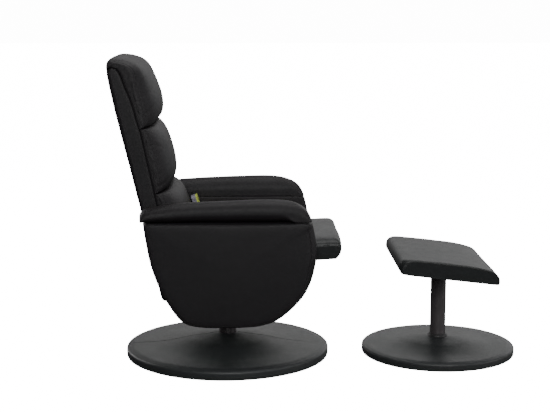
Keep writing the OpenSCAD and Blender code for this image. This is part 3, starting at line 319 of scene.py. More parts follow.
def plywood(name):
    """Birch plywood: long grain on the faces and thin plies at the edges."""
    mat, nt, shader = new_material(name)
    where = add(nt, "ShaderNodeTexCoord")
    squeeze = add(nt, "ShaderNodeMapping", {"Scale": (6.0, 6.0, 60.0)})
    link(nt, where, "Object", squeeze, "Vector")
    grain = add(nt, "ShaderNodeTexNoise", {"Scale": 2.5, "Detail": 8.0, "Distortion": 0.8})
    link(nt, squeeze, "Vector", grain, "Vector")
    tone = ramp(nt, grain, "Fac", 0.35, 0.68, (0.42, 0.28, 0.15), (0.68, 0.52, 0.33))
    link(nt, tone, "Color", shader, "Base Color")
    bump = add(nt, "ShaderNodeBump", {"Strength": 0.3, "Distance": 0.0004})
    link(nt, grain, "Fac", bump, "Height")
    link(nt, bump, "Normal", shader, "Normal")
    shader.inputs["Roughness"].default_value = 0.6
    return mat


BLACK = leather("leather_black", (0.0155, 0.0138, 0.0157), (0.032, 0.03, 0.033), 0.5, 0.26)
# Lighter, grey-green copy of the black leather for both bases. The lighter colour is painted sheen:
# it stands in for the reflections their nearly level tops catch, and is raised further to lift the
# shade in their middle. The lower roughness is the finish's own.
BASE_LEATHER_PAINTED_SHEEN = leather("leather_base_painted_sheen", (0.037, 0.0405, 0.042), (0.055, 0.059, 0.06), 0.33, 0.36)
# Slightly lighter, grey-green copy of the black leather for the seat and footstool pads. The
# lighter colour is painted sheen: it stands in for the reflections their tops catch. The shallower
# grain and lower roughness are the finish's own.
PAD_LEATHER_PAINTED_SHEEN = leather("leather_pads_painted_sheen", (0.0195, 0.0213, 0.022), (0.036, 0.039, 0.04), 0.36, 0.27,
    depth=0.22)
THREAD = speckled("thread", (0.017, 0.0165, 0.0175), 0.6, scale=2600.0)
finishes = {
    "felt": speckled("felt", (0.02, 0.02, 0.021), 0.95, scale=1500.0, depth=0.0006),
    "zinc": brushed("zinc", (0.5, 0.51, 0.53), 0.36),
    "black_paint": speckled("powder_coat", (0.06, 0.054, 0.057), 0.32, scale=1300.0),
    "nylon": speckled("nylon", (0.8, 0.78, 0.7), 0.45, spread=0.04),
    "plywood": plywood("birch_plywood"),
    "grey_plastic": speckled("grey_plastic", (0.21, 0.2, 0.25), 0.45, spread=0.05),
    "black_plastic": speckled("black_plastic", (0.03, 0.03, 0.032), 0.45, spread=0.05),
    "lime_plastic": speckled("lime_plastic", (0.52, 0.6, 0.1), 0.3, depth=0.00003, spread=0.04),
    "circuit_board": speckled("circuit_board", (0.02, 0.16, 0.07), 0.35, spread=0.2),
}
slot_of = {p["node"]: p["material_slot"] for p in frame["record"]["subparts"]}
for name, obj in nodes.items():
    finish = finishes.get(slot_of.get(name))
    if finish is None:
        continue
    if not obj.material_slots:
        obj.data.materials.append(finish)
    for s in obj.material_slots:
        s.material = finish


# Upholstery builders
def across(edge, step, half, seams, fine=1.3):
    """Places from -half to half, closer together at the edges and at each seam."""
    inner = half - edge
    places = list(np.linspace(-inner, inner, int(2 * inner / step) + 1))
    a = np.linspace(0, 1, 9)[1:]
    places += [s * (inner + edge * (1 - (1 - k) ** 1.7)) for k in a for s in (-1, 1)]
    for q in seams:
        for d in (-4.5, -3, -1.8, -0.9, 0, 0.9, 1.8, 3, 4.5):
            places += [q + d * fine, -q + d * fine]
    places = np.unique(np.round([p for p in places if abs(p) <= half + 1e-6], 2))
    keep = [places[0]]
    for p in places[1:]:
        if p - keep[-1] > 0.55:
            keep.append(p)
    keep[-1] = half
    return np.array(keep)


def ladder(name, outer, inner, y, high, low, place, material, body, side_rows=9,
        relief=None, warp=None, edge=None):
    """Upholstered form: for each rung from the inner to the outer line, a closed loop across.

    high and low give the shares of the rung, for each y, where the loop's front and back
    run. relief(info) gives how far each point stands proud of the surface, in mm. warp(grid)
    moves the points before that. edge has the inner lines for each y, for the loop's front and
    for the rest of it. info's kind is 0 on the loop's front, 1 on its sides, 2 on its rear."""
    n = len(outer)
    rise = np.linspace(0, 1, side_rows + 2)[1:-1]
    rise = (1 - np.cos(rise * math.pi)) / 2
    h, lo = np.broadcast_to(high, (n, len(y))), np.broadcast_to(low, (n, len(y)))
    share = np.concatenate([h, h[:, -1:] + (lo[:, -1:] - h[:, -1:]) * rise,
        lo[:, ::-1], lo[:, :1] + (h[:, :1] - lo[:, :1]) * rise], 1)
    yy = np.concatenate([y, np.full(side_rows, y[-1]), y[::-1], np.full(side_rows, y[0])])
    kind = np.concatenate([np.zeros(len(y)), np.ones(side_rows), np.full(len(y), 2),
        np.ones(side_rows)])
    w = len(y)
    column = np.r_[0:w, [w - 1] * side_rows, w - 1:-1:-1, [0] * side_rows].astype(int)
    foot = inner[:, None, :] if edge is None else np.where(kind[None, :, None] < 1,
        edge[0][:, column], edge[1][:, column])
    flat = foot + (outer[:, None, :] - foot) * share[..., None]
    grid = np.stack([flat[..., 0], np.broadcast_to(yy, share.shape), flat[..., 1]], -1)
    if warp is not None:
        grid = warp(grid)
    along = arc(outer)
    info = {"s": np.broadcast_to(along[:, None], share.shape), "y": grid[..., 1],
        "share": share, "kind": np.broadcast_to(kind, share.shape), "grid": grid,
        "length": along[-1]}
    if relief is not None:
        nrm = normals(grid, True)
        grid = grid + nrm * relief(info)[..., None]
    world = place(grid)
    m = share.shape[1]
    faces = band(n, m)
    for base, flip in ((0, False), ((n - 1) * m, True)):
        back = [base + w + side_rows + (w - 1 - j) for j in range(w)]
        front = [base + j for j in range(w)]
        for j in range(w - 1):
            q = (front[j], front[j + 1], back[j + 1], back[j])
            faces.append(q[::-1] if not flip else q)
        right = [front[-1]] + [base + w + k for k in range(side_rows)] + [back[-1]]
        left = [back[0]] + [base + 2 * w + side_rows + k for k in range(side_rows)] + [front[0]]
        faces += [tuple(right), tuple(left)]
    obj = outward(mesh_object(name, world.reshape(-1, 3), faces, material))
    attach(obj, body)
    return obj, world, info


def stitches(name, path, body, pitch=6.0, length=4.0, radius=0.26):
    """A row of short raised stitches along a path on the leather, in mm."""
    d = arc(path)
    count = int(d[-1] / pitch)
    points, faces = [], []
    ring = [(math.cos(a), math.sin(a)) for a in np.arange(6) * math.pi / 3]
    for k in range(count):
        ends = [np.array([np.interp(x, d, path[:, c]) for c in range(3)])
            for x in (k * pitch, k * pitch + length)]
        t = ends[1] - ends[0]
        if np.linalg.norm(t) < length / 2:
            continue
        t = t / np.linalg.norm(t)
        u = np.cross(t, [0.31, 0.52, 0.79])
        u /= np.linalg.norm(u)
        v = np.cross(t, u)
        base = len(points)
        for at, r in ((0, 0.35), (0.25, 1), (0.75, 1), (1, 0.35)):
            c = ends[0] + (ends[1] - ends[0]) * at
            points += [c + (u * x + v * z) * radius * r for x, z in ring]
        faces += band(4, 6, start=base)
        faces += [tuple(base + j for j in range(6))[::-1], tuple(base + 18 + j for j in range(6))]
    obj = mesh_object(name, points, faces, THREAD)
    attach(obj, body)
    return obj


def side_stitches(name, world, info, y_at, ends, body):
    """Stitches beside both side seams, on the rows of surface points nearest to y_at."""
    front = np.where(info["kind"][0] == 0)[0]
    y = info["y"][len(info["y"]) // 2][front]
    for word, side in (("right", -1), ("left", 1)):
        row = world[:, front[np.argmin(abs(y - side * y_at))], :]
        stitches("%s_stitch_%s" % (name, word), row[ends[0]:-ends[1]], body)


def crown(y, half, edge_share, power=3.3, rise=0.5):
    """Depth of a crowned cushion across its width, from 1 in the middle to edge_share."""
    t = np.abs(y) / half
    return edge_share + (1 - edge_share) * (1 - t ** power) ** rise


def cushion_relief(seam_y, seed, puff=1.2, puckers=0.9, creases=()):
    """Seam grooves, gathers along them, and slow unevenness of the filling."""
    def relief(f):
        """How far each point of the cushion stands proud, in mm."""
        d = np.abs(np.abs(f["y"]) - seam_y)
        front = f["kind"] == 0
        out = -1.5 * bell(d, 1.9) * front
        s = np.stack([f["s"], f["y"] * 0 + seed * 31, f["y"] * 0], -1)
        gather = wander(s, 17, seed) + 0.6 * wander(s, 7, seed + 3)
        side = np.sign(f["y"])
        s2 = np.stack([f["s"], side * 90, f["y"] * 0], -1)
        gather = gather + wander(s2, 23, seed + 1)
        out = out + puckers * gather * np.exp(-d / 15) * (1 - bell(d, 2)) * front
        out = out + puff * wander(f["grid"], 90, seed) * (f["kind"] < 2)
        for s0, y0, s1, y1, depth, width in creases:
            for mirror in (-1, 1):
                a, b = np.array([s0, y0 * mirror]), np.array([s1, y1 * mirror])
                p = np.stack([f["s"], f["y"]], -1)
                ab = b - a
                t = np.clip(((p - a) @ ab) / (ab @ ab), 0, 1)
                gap = np.linalg.norm(p - a - t[..., None] * ab, axis=-1)
                fade = 1 - 0.85 * t
                out = out - depth * bell(gap, width) * fade * front
        ends = np.minimum(f["s"], f["length"] - f["s"])
        return out * smooth(ends / 14)
    return relief


# Back
# Line on the side of the back where the cushions meet the shell, and the line over its top
BACK_TOP = BACK_L + GAP
MEETING = np.array([[56.3, 150], [56.3, 560], [52.5, 599], [50, 651], [45, 689], [39.5, 716],
    [36.5, 745], [32.5, 764], [25, 777], [10.7, 784], [-1.5, BACK_TOP], [-20, BACK_TOP]])
EAR_Y = 224


def tuck(grid, off, depth=3.6, width=8.0, back=1.0):
    """Draws the side faces in where they meet a neighbour; off is the distance to it."""
    grid[..., 0] -= back * ((off < 0.6) & (np.abs(grid[..., 1]) > EAR_Y - 0.7))
    pull = depth * (1 - np.sqrt(1 - (1 - np.clip(off / width, 0, 1)) ** 2))
    grid[..., 1] -= np.sign(grid[..., 1]) * pull * smooth((np.abs(grid[..., 1]) - 200) / 30)
    return grid


def back_piece(name, foot, length, deep, seed):
    """A crowned cushion across the back, with a seam and creases at both sides."""
    start = BACK_T + GAP
    outer = even(curve(stretch(CUSHION, [deep, length], [start, foot]), 160), 92)
    inner = np.stack([np.full(len(outer), start),
        foot + GAP + (outer[:, 1] - foot) * (1 - 2 * GAP / length)], 1)
    half = BACK_W / 2
    seam = half - 5
    y = across(60, 9, half, [seam])
    high = crown(y, half, 0.2)[None, :]
    ends = np.abs(np.linspace(-1, 1, len(outer)))[:, None]
    creases = [(length * 0.32, seam, length * 0.42, seam - 70, 1.6, 5),
        (length * 0.5, seam, length * 0.58, seam - 46, 1.0, 4),
        (length * 0.95, seam, length * 0.85, seam - 60, 1.3, 5)]

    def pull(grid):
        """Narrows both ends a little and draws the sides in at the shell."""
        t = np.abs(grid[..., 1]) / half
        grid[..., 1] *= 1 - 0.02 * smooth((ends - 0.8) / 0.2) * t
        return tuck(grid, grid[..., 0] - start)

    obj, world, info = ladder(name, outer, inner, y, high, 0.0, in_back, BLACK, "back",
        relief=cushion_relief(seam, seed, creases=creases), warp=pull)
    side_stitches(name, world, info, seam - 3.2, (8, 8), "back")
    return obj


# Head cushion: it folds over the shell's top, and its side ears follow the meeting line
head_start = BACK_T + GAP
outer = even(curve(stretch(HEAD_FRONT, [CUSHION_T, HEAD_L], [head_start, HEAD_FOOT]), 260), 130)
on_front = (outer[:, 0] > head_start) & (outer[:, 1] < BACK_TOP - 9)
inner = np.where(on_front[:, None],
    np.stack([np.full(len(outer), head_start), outer[:, 1] + GAP], 1),
    np.stack([np.minimum(head_start, np.maximum(outer[:, 0] + 4, -BACK_T * 0.1)),
        np.minimum(BACK_TOP, outer[:, 1])], 1))
half = BACK_W / 2
at = np.where(on_front, np.interp(outer[:, 1], MEETING[:, 1], arc(MEETING)), 0)
rest = np.where(~on_front & (outer[:, 1] > HEAD_FOOT + 50))[0]
first = np.max(at)
at[rest] = first + (arc(MEETING)[-2] - first) * (np.arange(len(rest)) + 1) / len(rest)
low_start = np.interp(HEAD_FOOT + GAP, MEETING[:, 1], arc(MEETING))
at = np.maximum.accumulate(np.maximum(at, low_start))
ear = np.stack([np.interp(at, arc(MEETING), MEETING[:, k]) for k in (0, 1)], 1)[:, None, :]
y = np.unique(np.r_[across(60, 9, half, [half - 5]),
    -EAR_Y - 0.6, -EAR_Y + 0.6, EAR_Y - 0.6, EAR_Y + 0.6])
ends = smooth((outer[:, 1] - HEAD_FOOT) / HEAD_L * 2.2 - 1)[:, None]
high = crown(y, half, 0.2)[None, :] * (1 - ends) + crown(y, half, 0.5, 5, 0.5)[None, :] * ends
step = (np.abs(y) > EAR_Y)[None, :, None]
blend = smooth((np.abs(y) - 196) / 34)[None, :, None]
edge = (inner[:, None, :] * (1 - blend) + ear * blend, np.where(step, ear, inner[:, None, :]))


def head_sides(grid):
    """Draws the head cushion in along the meeting line and over the shell's top."""
    off = grid[..., 0] - np.interp(grid[..., 2], MEETING[:10, 1], MEETING[:10, 0])
    over = grid[..., 2] - BACK_TOP
    off = np.where(grid[..., 0] < 12, over, np.maximum(off, over))
    return tuck(grid, np.where(grid[..., 0] < 2, 20, off))


head, head_world, head_info = ladder("head_pad", outer, inner, y, high, 0.0, in_back, BLACK,
    "back", relief=cushion_relief(half - 5, 4.0, puckers=0.5, creases=[
        (95, half - 13, 130, half - 80, 1.5, 5), (150, half - 13, 160, half - 60, 1.0, 4)]),
    warp=head_sides, edge=edge)
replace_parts(head, "head_cushion")
side_stitches("head", head_world, head_info, half - 8.2, (8, 8), "back")
middle = back_piece("middle_pad", MIDDLE_FOOT, MIDDLE_L, CUSHION_T, 7.0)
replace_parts(middle, "middle_cushion")
lumbar = back_piece("lumbar_pad", CUSHION_FOOT, LUMBAR_L, CUSHION_T * LUMBAR_DEPTH, 11.0)
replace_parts(lumbar, "lumbar_cushion")

# Leather apron on the back's frame between the lumbar cushion and the seat
rows = [(CUSHION_FOOT - 0.6, 0.4), (CUSHION_FOOT - 1.2, 1.6), (CUSHION_FOOT - 6, 2.2)]
rows += [(z, 2.2) for z in np.linspace(CUSHION_FOOT - 14, 74, 12)] + [(70, 1.6), (69, 0.4)]
y = np.linspace(-233, 233, 61)
grid = np.stack([np.stack([np.full(len(y), BACK_T + d), y, np.full(len(y), z)], -1)
    for z, d in rows])
grid[..., 0] += np.minimum(0, 0.5 * wander(grid, 40, 41.0)) * (grid[..., 0] > BACK_T + 2)
rear = grid.copy()
rear[..., 0] = BACK_T + 0.35
loops = np.concatenate([grid, rear[:, ::-1]], 1)
n, m = loops.shape[:2]
faces = band(n, m) + [tuple(range(m))[::-1], tuple((n - 1) * m + j for j in range(m))]
apron = outward(mesh_object("back_apron", in_back(loops).reshape(-1, 3), faces, BLACK))
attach(apron, "back")

# Upholstered shell behind the cushions: a boxed panel with a seam along both rear edges
outer = even(curve(stretch(SHELL_TOP, [BACK_T, BACK_L], [0, 0]), 300), 190)
z = np.clip(outer[:, 1], 0, BACK_L)
inner = np.stack([np.full(len(outer), BACK_T - 1.0),
    z + (BACK_L - np.linspace(0, 1, len(z)) * BACK_L - z) * 0.3], 1)
seam = half - 20
SHELL_ROUND = 13
y = np.unique(np.r_[across(30, 12, half, [seam]),
    -EAR_Y + 1, -EAR_Y + 1.8, EAR_Y - 1.8, EAR_Y - 1])
t = np.clip((np.abs(y) - (half - SHELL_ROUND)) / SHELL_ROUND, 0, 1)
high = (0.78 + 0.22 * np.sqrt(1 - t ** 2))[None, :]


def shell_relief(f):
    """A seam beside each rear edge, with gathers along it."""
    d = np.abs(np.abs(f["y"]) - seam)
    front = f["kind"] == 0
    s = np.stack([f["s"], np.sign(f["y"]) * 50, f["y"] * 0], -1)
    out = -1.8 * bell(d, 1.8) * front + 0.7 * wander(s, 21, 2.0) * np.exp(-d / 12) * front
    out = out + 0.9 * wander(f["grid"], 120, 2.5) * (f["kind"] < 2)
    ends = np.minimum(f["s"], f["length"] - f["s"])
    return out * smooth(ends / 12)


def shell_sides(grid):
    """Cuts the shell's sides back along the meeting line and draws them in there."""
    limit = np.interp(grid[..., 2], MEETING[:11, 1], MEETING[:11, 0]) - 1.2
    limit = np.where(np.abs(grid[..., 1]) > EAR_Y - 1.4, limit, 1e6)
    grid[..., 0] = np.minimum(grid[..., 0], limit)
    off = np.minimum(limit, BACK_T) - grid[..., 0]
    return tuck(grid, np.where((grid[..., 2] > 40) & (grid[..., 0] > 2), off, 20), 3, 7, 0)


shell, shell_world, shell_info = ladder("shell_cover", outer, inner, y, high, 0.0, in_back,
    BLACK, "back", relief=shell_relief, warp=shell_sides, side_rows=21)
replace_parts(shell, "back_shell")
side_stitches("shell", shell_world, shell_info, seam - 3.2, (12, 12), "back")


# Sides and arms
def side_line(shares, n):
    """n points of an outline that is given in shares of the D-shaped side."""
    return even(curve(stretch(shares, [SIDE_L, SIDE_H], [-SIDE_BACK, SIDE_Z]), n * 3), n)


arm_top = side_line(ARM_TOP, 96)
arm_under = side_line(ARM_UNDER, 96)
outline = np.concatenate([side_line(SIDE_LOW, 190), arm_under[2:-2:2] - [0, GAP]])
middle_of = (outline.max(0) + outline.min(0)) / 2
toward = (middle_of - outline) / np.linalg.norm(outline - middle_of, axis=1, keepdims=True)
under_arm = smooth((outline[:, 1] - SIDE_Z - 0.8 * SIDE_H) / 12)[:, None]
NOSE_X, NOSE_L = 196, 66

# Rows over the panel's edge and face as distances in from the outline and out from the board
edge_rows = [(11.7, BOARD_T + GAP), (11.7, 0.0), (8, 0.0), (4, 0.4), (1.6, 1.7), (0.4, 4.2), (0, 7),
    (0, 9.4), (0, 10.6), (0, 11.8), (0, 14), (0, 22), (0, 32), (0, 42), (0.4, 49), (1.8, 56),
    (4.4, 62.5), (8.2, 68), (12.6, 71.8), (16.4, 73.6), (18.2, 74.1), (19.2, 74.3),
    (20, 74.4), (20.8, 74.5), (21.8, 74.7), (24, 75), (29, 75.5), (36, 76)]
face_rows = [0.84, 0.76, 0.68, 0.6, 0.52, 0.44, 0.36, 0.28, 0.2, 0.12, 0.05]
WELT, SEAM_IN, SEAM_ROW = 10.6, 20, 24


def side_panel(name, side):
    """D-shaped pad: a boxed edge with a welt, and a face with a seam near its outline."""
    nose = smooth((outline[:, 0] - NOSE_X) / NOSE_L)[:, None]
    front = smooth((outline[:, 0] - 40) / 180) * smooth((outline[:, 1] - SIDE_Z - 40) / 160)
    width = (0.5 + 0.5 * front)[:, None] * (1 - under_arm) + under_arm * (0.5 - 0.2 * nose)
    rows = [outline + toward * r * width for r, _ in edge_rows]
    depth = [np.full(len(outline), d) for _, d in edge_rows]
    start = rows[-1]
    for k in face_rows:
        rows.append(middle_of + (start - middle_of) * k / 0.92)
        depth.append(np.full(len(outline), SIDE_T + 2.6 * (1 - k ** 2)))
    grid = np.stack([np.stack([r[:, 0], INNER_Y + d, r[:, 1]], -1) for r, d in zip(rows, depth)])
    nrm = normals(grid, True)
    centre = np.array([middle_of[0], INNER_Y + 40, middle_of[1]])
    if np.sum(nrm[12] * (grid[12] - centre)) < 0:
        nrm = -nrm
    inset = np.array([r for r, _ in edge_rows]
        + [edge_rows[-1][0] + 20 * (i + 1) for i in range(len(face_rows))])
    depths = np.array([d for _, d in edge_rows] + [SIDE_T] * len(face_rows))
    s = np.stack([arc(outline), np.zeros(len(outline)), np.zeros(len(outline))], -1)
    gather = wander(s, 19, 5.0 + side) + 0.6 * wander(s, 8, 9.0 + side)
    on_face = (depths > 60)[:, None]
    seam_d = np.abs(inset - SEAM_IN)[:, None]
    rear_top = under_arm.T * smooth((-outline[:, 0] - 130) / 60)
    lift = -bell(seam_d, 1.5) * on_face * (0.6 + 0.7 * front * (1 - under_arm.T) + 0.6 * rear_top)
    lift = lift + 0.4 * gather[None, :] * np.exp(-seam_d / 14) * on_face
    edge_d = np.abs(depths - WELT)[:, None]
    lift = lift - 1.6 * bell(edge_d, 1.3) * (inset < 1)[:, None]
    lift = lift + 0.9 * wander(grid, 170, 3.0 + side) * smooth((depths[:, None] - 10) / 30)
    grid = grid + nrm * lift[..., None]
    grid[..., 1] *= side
    n, m = grid.shape[:2]
    points = list(grid.reshape(-1, 3)) + [grid[-1].mean(0)]
    faces = band(n, m) + [((n - 1) * m + (j + 1) % m, (n - 1) * m + j, n * m) for j in range(m)]
    faces = [f[::-1] for f in faces[:(n - 1) * m]] + faces[(n - 1) * m:]
    obj = outward(mesh_object(name, points, faces, BLACK))
    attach(obj, "chair")
    row = grid[SEAM_ROW]
    stitches(name + "_stitch", np.vstack([row, row[:1]])[6:-60], "chair")
    return obj


def arm_piece(name, side, seed):
    """Arm pad: overhangs the panel on its outer side and runs into it at the nose."""
    places = (1 - np.cos(np.linspace(0, math.pi, 39))) / 2
    u = np.abs(2 * places - 1)
    high = np.where(places > 0.5, 0.49 + 0.51 * (1 - u ** 2.3) ** (1 / 2.1),
        0.3 + 0.7 * (1 - u ** 2.1) ** 0.5)
    low = 0.43 * (1 - (1 - u ** 2.2) ** 0.55) * (places > 0.5)
    y = INNER_Y + places * ARM_W
    nose = smooth((arm_top[:, 0] - NOSE_X) / NOSE_L)[:, None]
    low = low[None, :] * (1 - nose)
    high = high[None, :] * (1 - nose) + (0.5 + 0.5 * (1 - u ** 7) ** 0.5)[None, :] * nose

    def taper(grid):
        """Brings the inner edge flush with the lining and the nose flush with the panel."""
        grid[..., 1] -= 1.9 * smooth((INNER_Y + 16 - grid[..., 1]) / 16)
        grid[..., 1] -= (ARM_W - SIDE_T + 2) * smooth((grid[..., 0] - 140) / 110) \
            * smooth((grid[..., 1] - INNER_Y) / ARM_W * 2)
        return grid

    def relief(f):
        """Small folds at the outer side's rear end, and an uneven filling."""
        tall = f["share"]
        outside = smooth((f["grid"][..., 1] - INNER_Y - 30) / 30)
        rear = smooth((f["s"] - f["length"] + 190) / 120)
        out = 0.7 * rear * np.sin(f["s"] / 9.0 + tall * 7) * bell(tall - 0.16, 0.2) * outside
        inner_face = smooth((f["grid"][..., 1] - INNER_Y - 1) / 16)
        out = out + 1.5 * wander(f["grid"], 95, seed) * inner_face
        ends = np.minimum(f["s"], f["length"] - f["s"])
        return out * smooth(ends / 16)

    def place(p):
        """Mirrors the pad for the right side."""
        return p * [1, side, 1]

    obj = ladder(name, arm_top, arm_under, y, high, low, place,
        BLACK, "chair", side_rows=3, relief=relief, warp=taper)[0]
    return obj


def lining(name, side):
    """Leather glued on the inner face of a side board, turned over at its edge."""
    edge = outline + toward * (9 - 8.4 * under_arm)
    centre = edge.mean(0)
    rows = [(0.98, -0.1), (1.0, -0.1), (1.0, -0.7), (0.997, -1.3), (0.985, -1.8)]
    rows += [(k, -1.9) for k in np.linspace(0.95, 0.05, 14)]
    grid = np.stack([np.insert(centre + (edge - centre) * k, 1, INNER_Y + d, axis=1)
        for k, d in rows])
    grid[..., 1] += np.minimum(0, 0.35 * wander(grid, 60, 31.0 + side) - 0.1)
    grid[..., 1] *= side
    n, m = grid.shape[:2]
    points = list(grid.reshape(-1, 3)) + [grid[-1].mean(0), grid[0].mean(0)]
    faces = band(n, m) + [((n - 1) * m + j, (n - 1) * m + (j + 1) % m, n * m) for j in range(m)]
    faces += [((j + 1) % m, j, n * m + 1) for j in range(m)]
    obj = outward(mesh_object(name, points, faces, BLACK))
    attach(obj, "chair")


for word, side in (("right", -1), ("left", 1)):
    lining(word + "_lining", side)
    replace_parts(side_panel(word + "_panel", side), word + "_side_pad")
    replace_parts(arm_piece(word + "_arm", side, 21.0 + side), word + "_arm_pad")


# Seat
start = -SEAT_REAR
outer = even(curve(stretch(SEAT_TOP, [SEAT_L, SEAT_T], [start, -SEAT_BOTTOM]), 320), 150)
n = len(outer)
foot_x = np.clip(outer[:, 0], start + 0.02 * SEAT_L + 0.05 * np.arange(n)[::-1],
    start + 0.955 * SEAT_L - 0.05 * np.arange(n))
inner = np.stack([foot_x, np.full(n, -SEAT_BOTTOM)], 1)
half = SEAT_W / 2
seam = half - 1.2
SEAT_SEAM_Z = 49
y = across(50, 10, half, [seam])
t = np.abs(y) / half
high = (0.66 + 0.34 * (1 - t ** 9) ** 0.45)[None, :]
room = np.linalg.norm(outer - inner, axis=1)[:, None]
low = np.where((room > 42) & (np.abs(y) < half - 10.5)[None, :], 21 / room, 0.0)
filling = cushion_relief(half + 40, 15.0, puff=1.5, puckers=0, creases=[
    (60, seam, 95, seam - 90, 1.8, 7), (120, seam, 150, seam - 60, 1.3, 6)])


def seat_relief(f):
    """The filling, and a seam along each side that runs out before the front edge."""
    g = f["grid"]
    at_side = smooth((np.abs(g[..., 1]) - half + 14) / 8) * (f["kind"] < 2)
    along = smooth((SEAT_L * 0.95 - SEAT_REAR - g[..., 0]) / 40) * smooth((g[..., 0] - 20) / 20)
    d = g[..., 2] - SEAT_SEAM_Z
    gather = wander(np.stack([g[..., 0], g[..., 1] * 0, g[..., 1] * 0], -1), 14, 16.0)
    groove = -1.7 * bell(d, 1.9) + 0.5 * gather * np.exp(-abs(d) / 9)
    return filling(f) + at_side * along * groove


# The seat takes the lighter pad leather, whose colour is painted sheen.
seat, seat_world, seat_info = ladder("seat_pad", outer, inner, y, high, low, in_seat, PAD_LEATHER_PAINTED_SHEEN,
    "seat", relief=seat_relief, side_rows=24)
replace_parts(seat, "seat_cushion")
side_stitches("seat", seat_world, seat_info, seam - 3.6, (10, 16), "seat")

# Footstool pad
outer = curve(stretch(STOOL_TOP, [STOOL_L, STOOL_T], 0), 130)
inner = curve(stretch(STOOL_UNDER, [STOOL_L, STOOL_T], 0), 130)
half = STOOL_W / 2
seam = half - 6
y = across(26, 10, half, [seam])
t = np.clip((np.abs(y) - (half - 5)) / 5, 0, 1)
high = (0.95 + 0.05 * np.sqrt(1 - t ** 2.4))[None, :] - 0.01 * (np.abs(y) / half)[None, :] ** 2
room = np.linalg.norm(outer - inner, axis=1)[:, None]
low = np.where((room > 36) & (np.abs(y) < half - 31)[None, :], 17 / room, 0.0)


def stool_relief(f):
    """A seam along each upper side edge, with gathers, and an uneven filling."""
    d = np.abs(np.abs(f["y"]) - seam)
    front = f["kind"] == 0
    s = np.stack([f["s"], np.sign(f["y"]) * 70, f["y"] * 0], -1)
    out = -1.6 * bell(d, 1.6) * front + 0.6 * wander(s, 18, 6.0) * np.exp(-d / 12) * front
    out = out + 1.1 * wander(f["grid"], 80, 8.0) * (f["kind"] < 2)
    ends = np.minimum(f["s"], f["length"] - f["s"])
    return out * smooth(ends / 10)


def stool_corners(grid):
    """Rounds the corners of the end at the chair, seen from above, most at their top."""
    q = np.clip((np.abs(grid[..., 1]) - half + 26) / 26, 0, 1)
    near = smooth((STOOL_L * 0.3 - grid[..., 0]) / (STOOL_L * 0.3))
    grid[..., 0] += 20 * (1 - np.sqrt(1 - q ** 2)) * near \
        * (0.35 + 0.65 * smooth(grid[..., 2] / (0.7 * STOOL_T)))
    return grid


# The footstool pad takes the lighter pad leather, whose colour is painted sheen.
stool, stool_world, stool_info = ladder("stool_cushion", outer, inner, y, high, low, in_stool,
    PAD_LEATHER_PAINTED_SHEEN, "stool", relief=stool_relief, warp=stool_corners)
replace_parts(stool, "stool_pad")
side_stitches("stool", stool_world, stool_info, seam - 3.4, (8, 8), "stool")


# Leather-covered bases
def base_piece(name, centre_x, r, neck_r, rim_h, neck_h, seam, body):
    """Leather skin of a domed round base, with a seam across it or none."""
    line = curve(COVER, 120)
    rr = neck_r + line[:, 0] * (r - neck_r)
    zz = np.where(line[:, 1] < 1, line[:, 1] * rim_h, rim_h + (line[:, 1] - 1) * (neck_h - rim_h))
    prof = even(np.stack([rr, zz], 1), 110)
    up = np.clip((prof[:, 1] - prof[0, 1]) / (rim_h - prof[0, 1]), 0, 1)
    under = np.stack([prof[:, 0] - SKIN * (prof[:, 0] - neck_r) / (r - neck_r),
        prof[:, 1] - SKIN * up], 1)
    angles = np.linspace(0, 2 * math.pi, 181)[:-1]
    if seam:
        near = np.radians([-1.6, -1.0, -0.6, -0.35, -0.2, -0.1, 0, 0.1, 0.2, 0.35, 0.6, 1.0, 1.6])
        angles = np.concatenate([angles, near, near + math.pi])
    angles = np.unique(np.round(np.mod(angles, 2 * math.pi), 5))
    ca, sa = np.cos(angles), np.sin(angles)
    loop = np.concatenate([prof, under[::-1]])
    grid = np.stack([centre_x + loop[:, None, 0] * ca, loop[:, None, 0] * sa,
        np.broadcast_to(loop[:, None, 1], (len(loop), len(angles)))], -1)
    top = np.zeros(len(loop))
    top[:len(prof)] = smooth((loop[:len(prof), 1] - 8) / 10)
    d = np.abs(loop[:, None, 0] * sa)
    lift = np.zeros(grid.shape[:2])
    if seam:
        fade = smooth((0.62 * r + 60 - loop[:, None, 0] * ca) / 60)
        lift -= 1.3 * bell(d, 1.1) * fade
    lift += 0.5 * wander(grid, 70, 12.0 + seam)
    grid[..., 2] += lift * top[:, None] * smooth((loop[:, None, 0] - neck_r) / 12)
    n, m = grid.shape[:2]
    faces = band(n, m) + [((n - 1) * m + j, (n - 1) * m + (j + 1) % m, (j + 1) % m, j)
        for j in range(m)]
    # The skin takes the lighter copy of the leather, whose colour is painted sheen.
    obj = outward(mesh_object(name, grid.reshape(-1, 3), faces, BASE_LEATHER_PAINTED_SHEEN))
    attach(obj, body)
    return obj


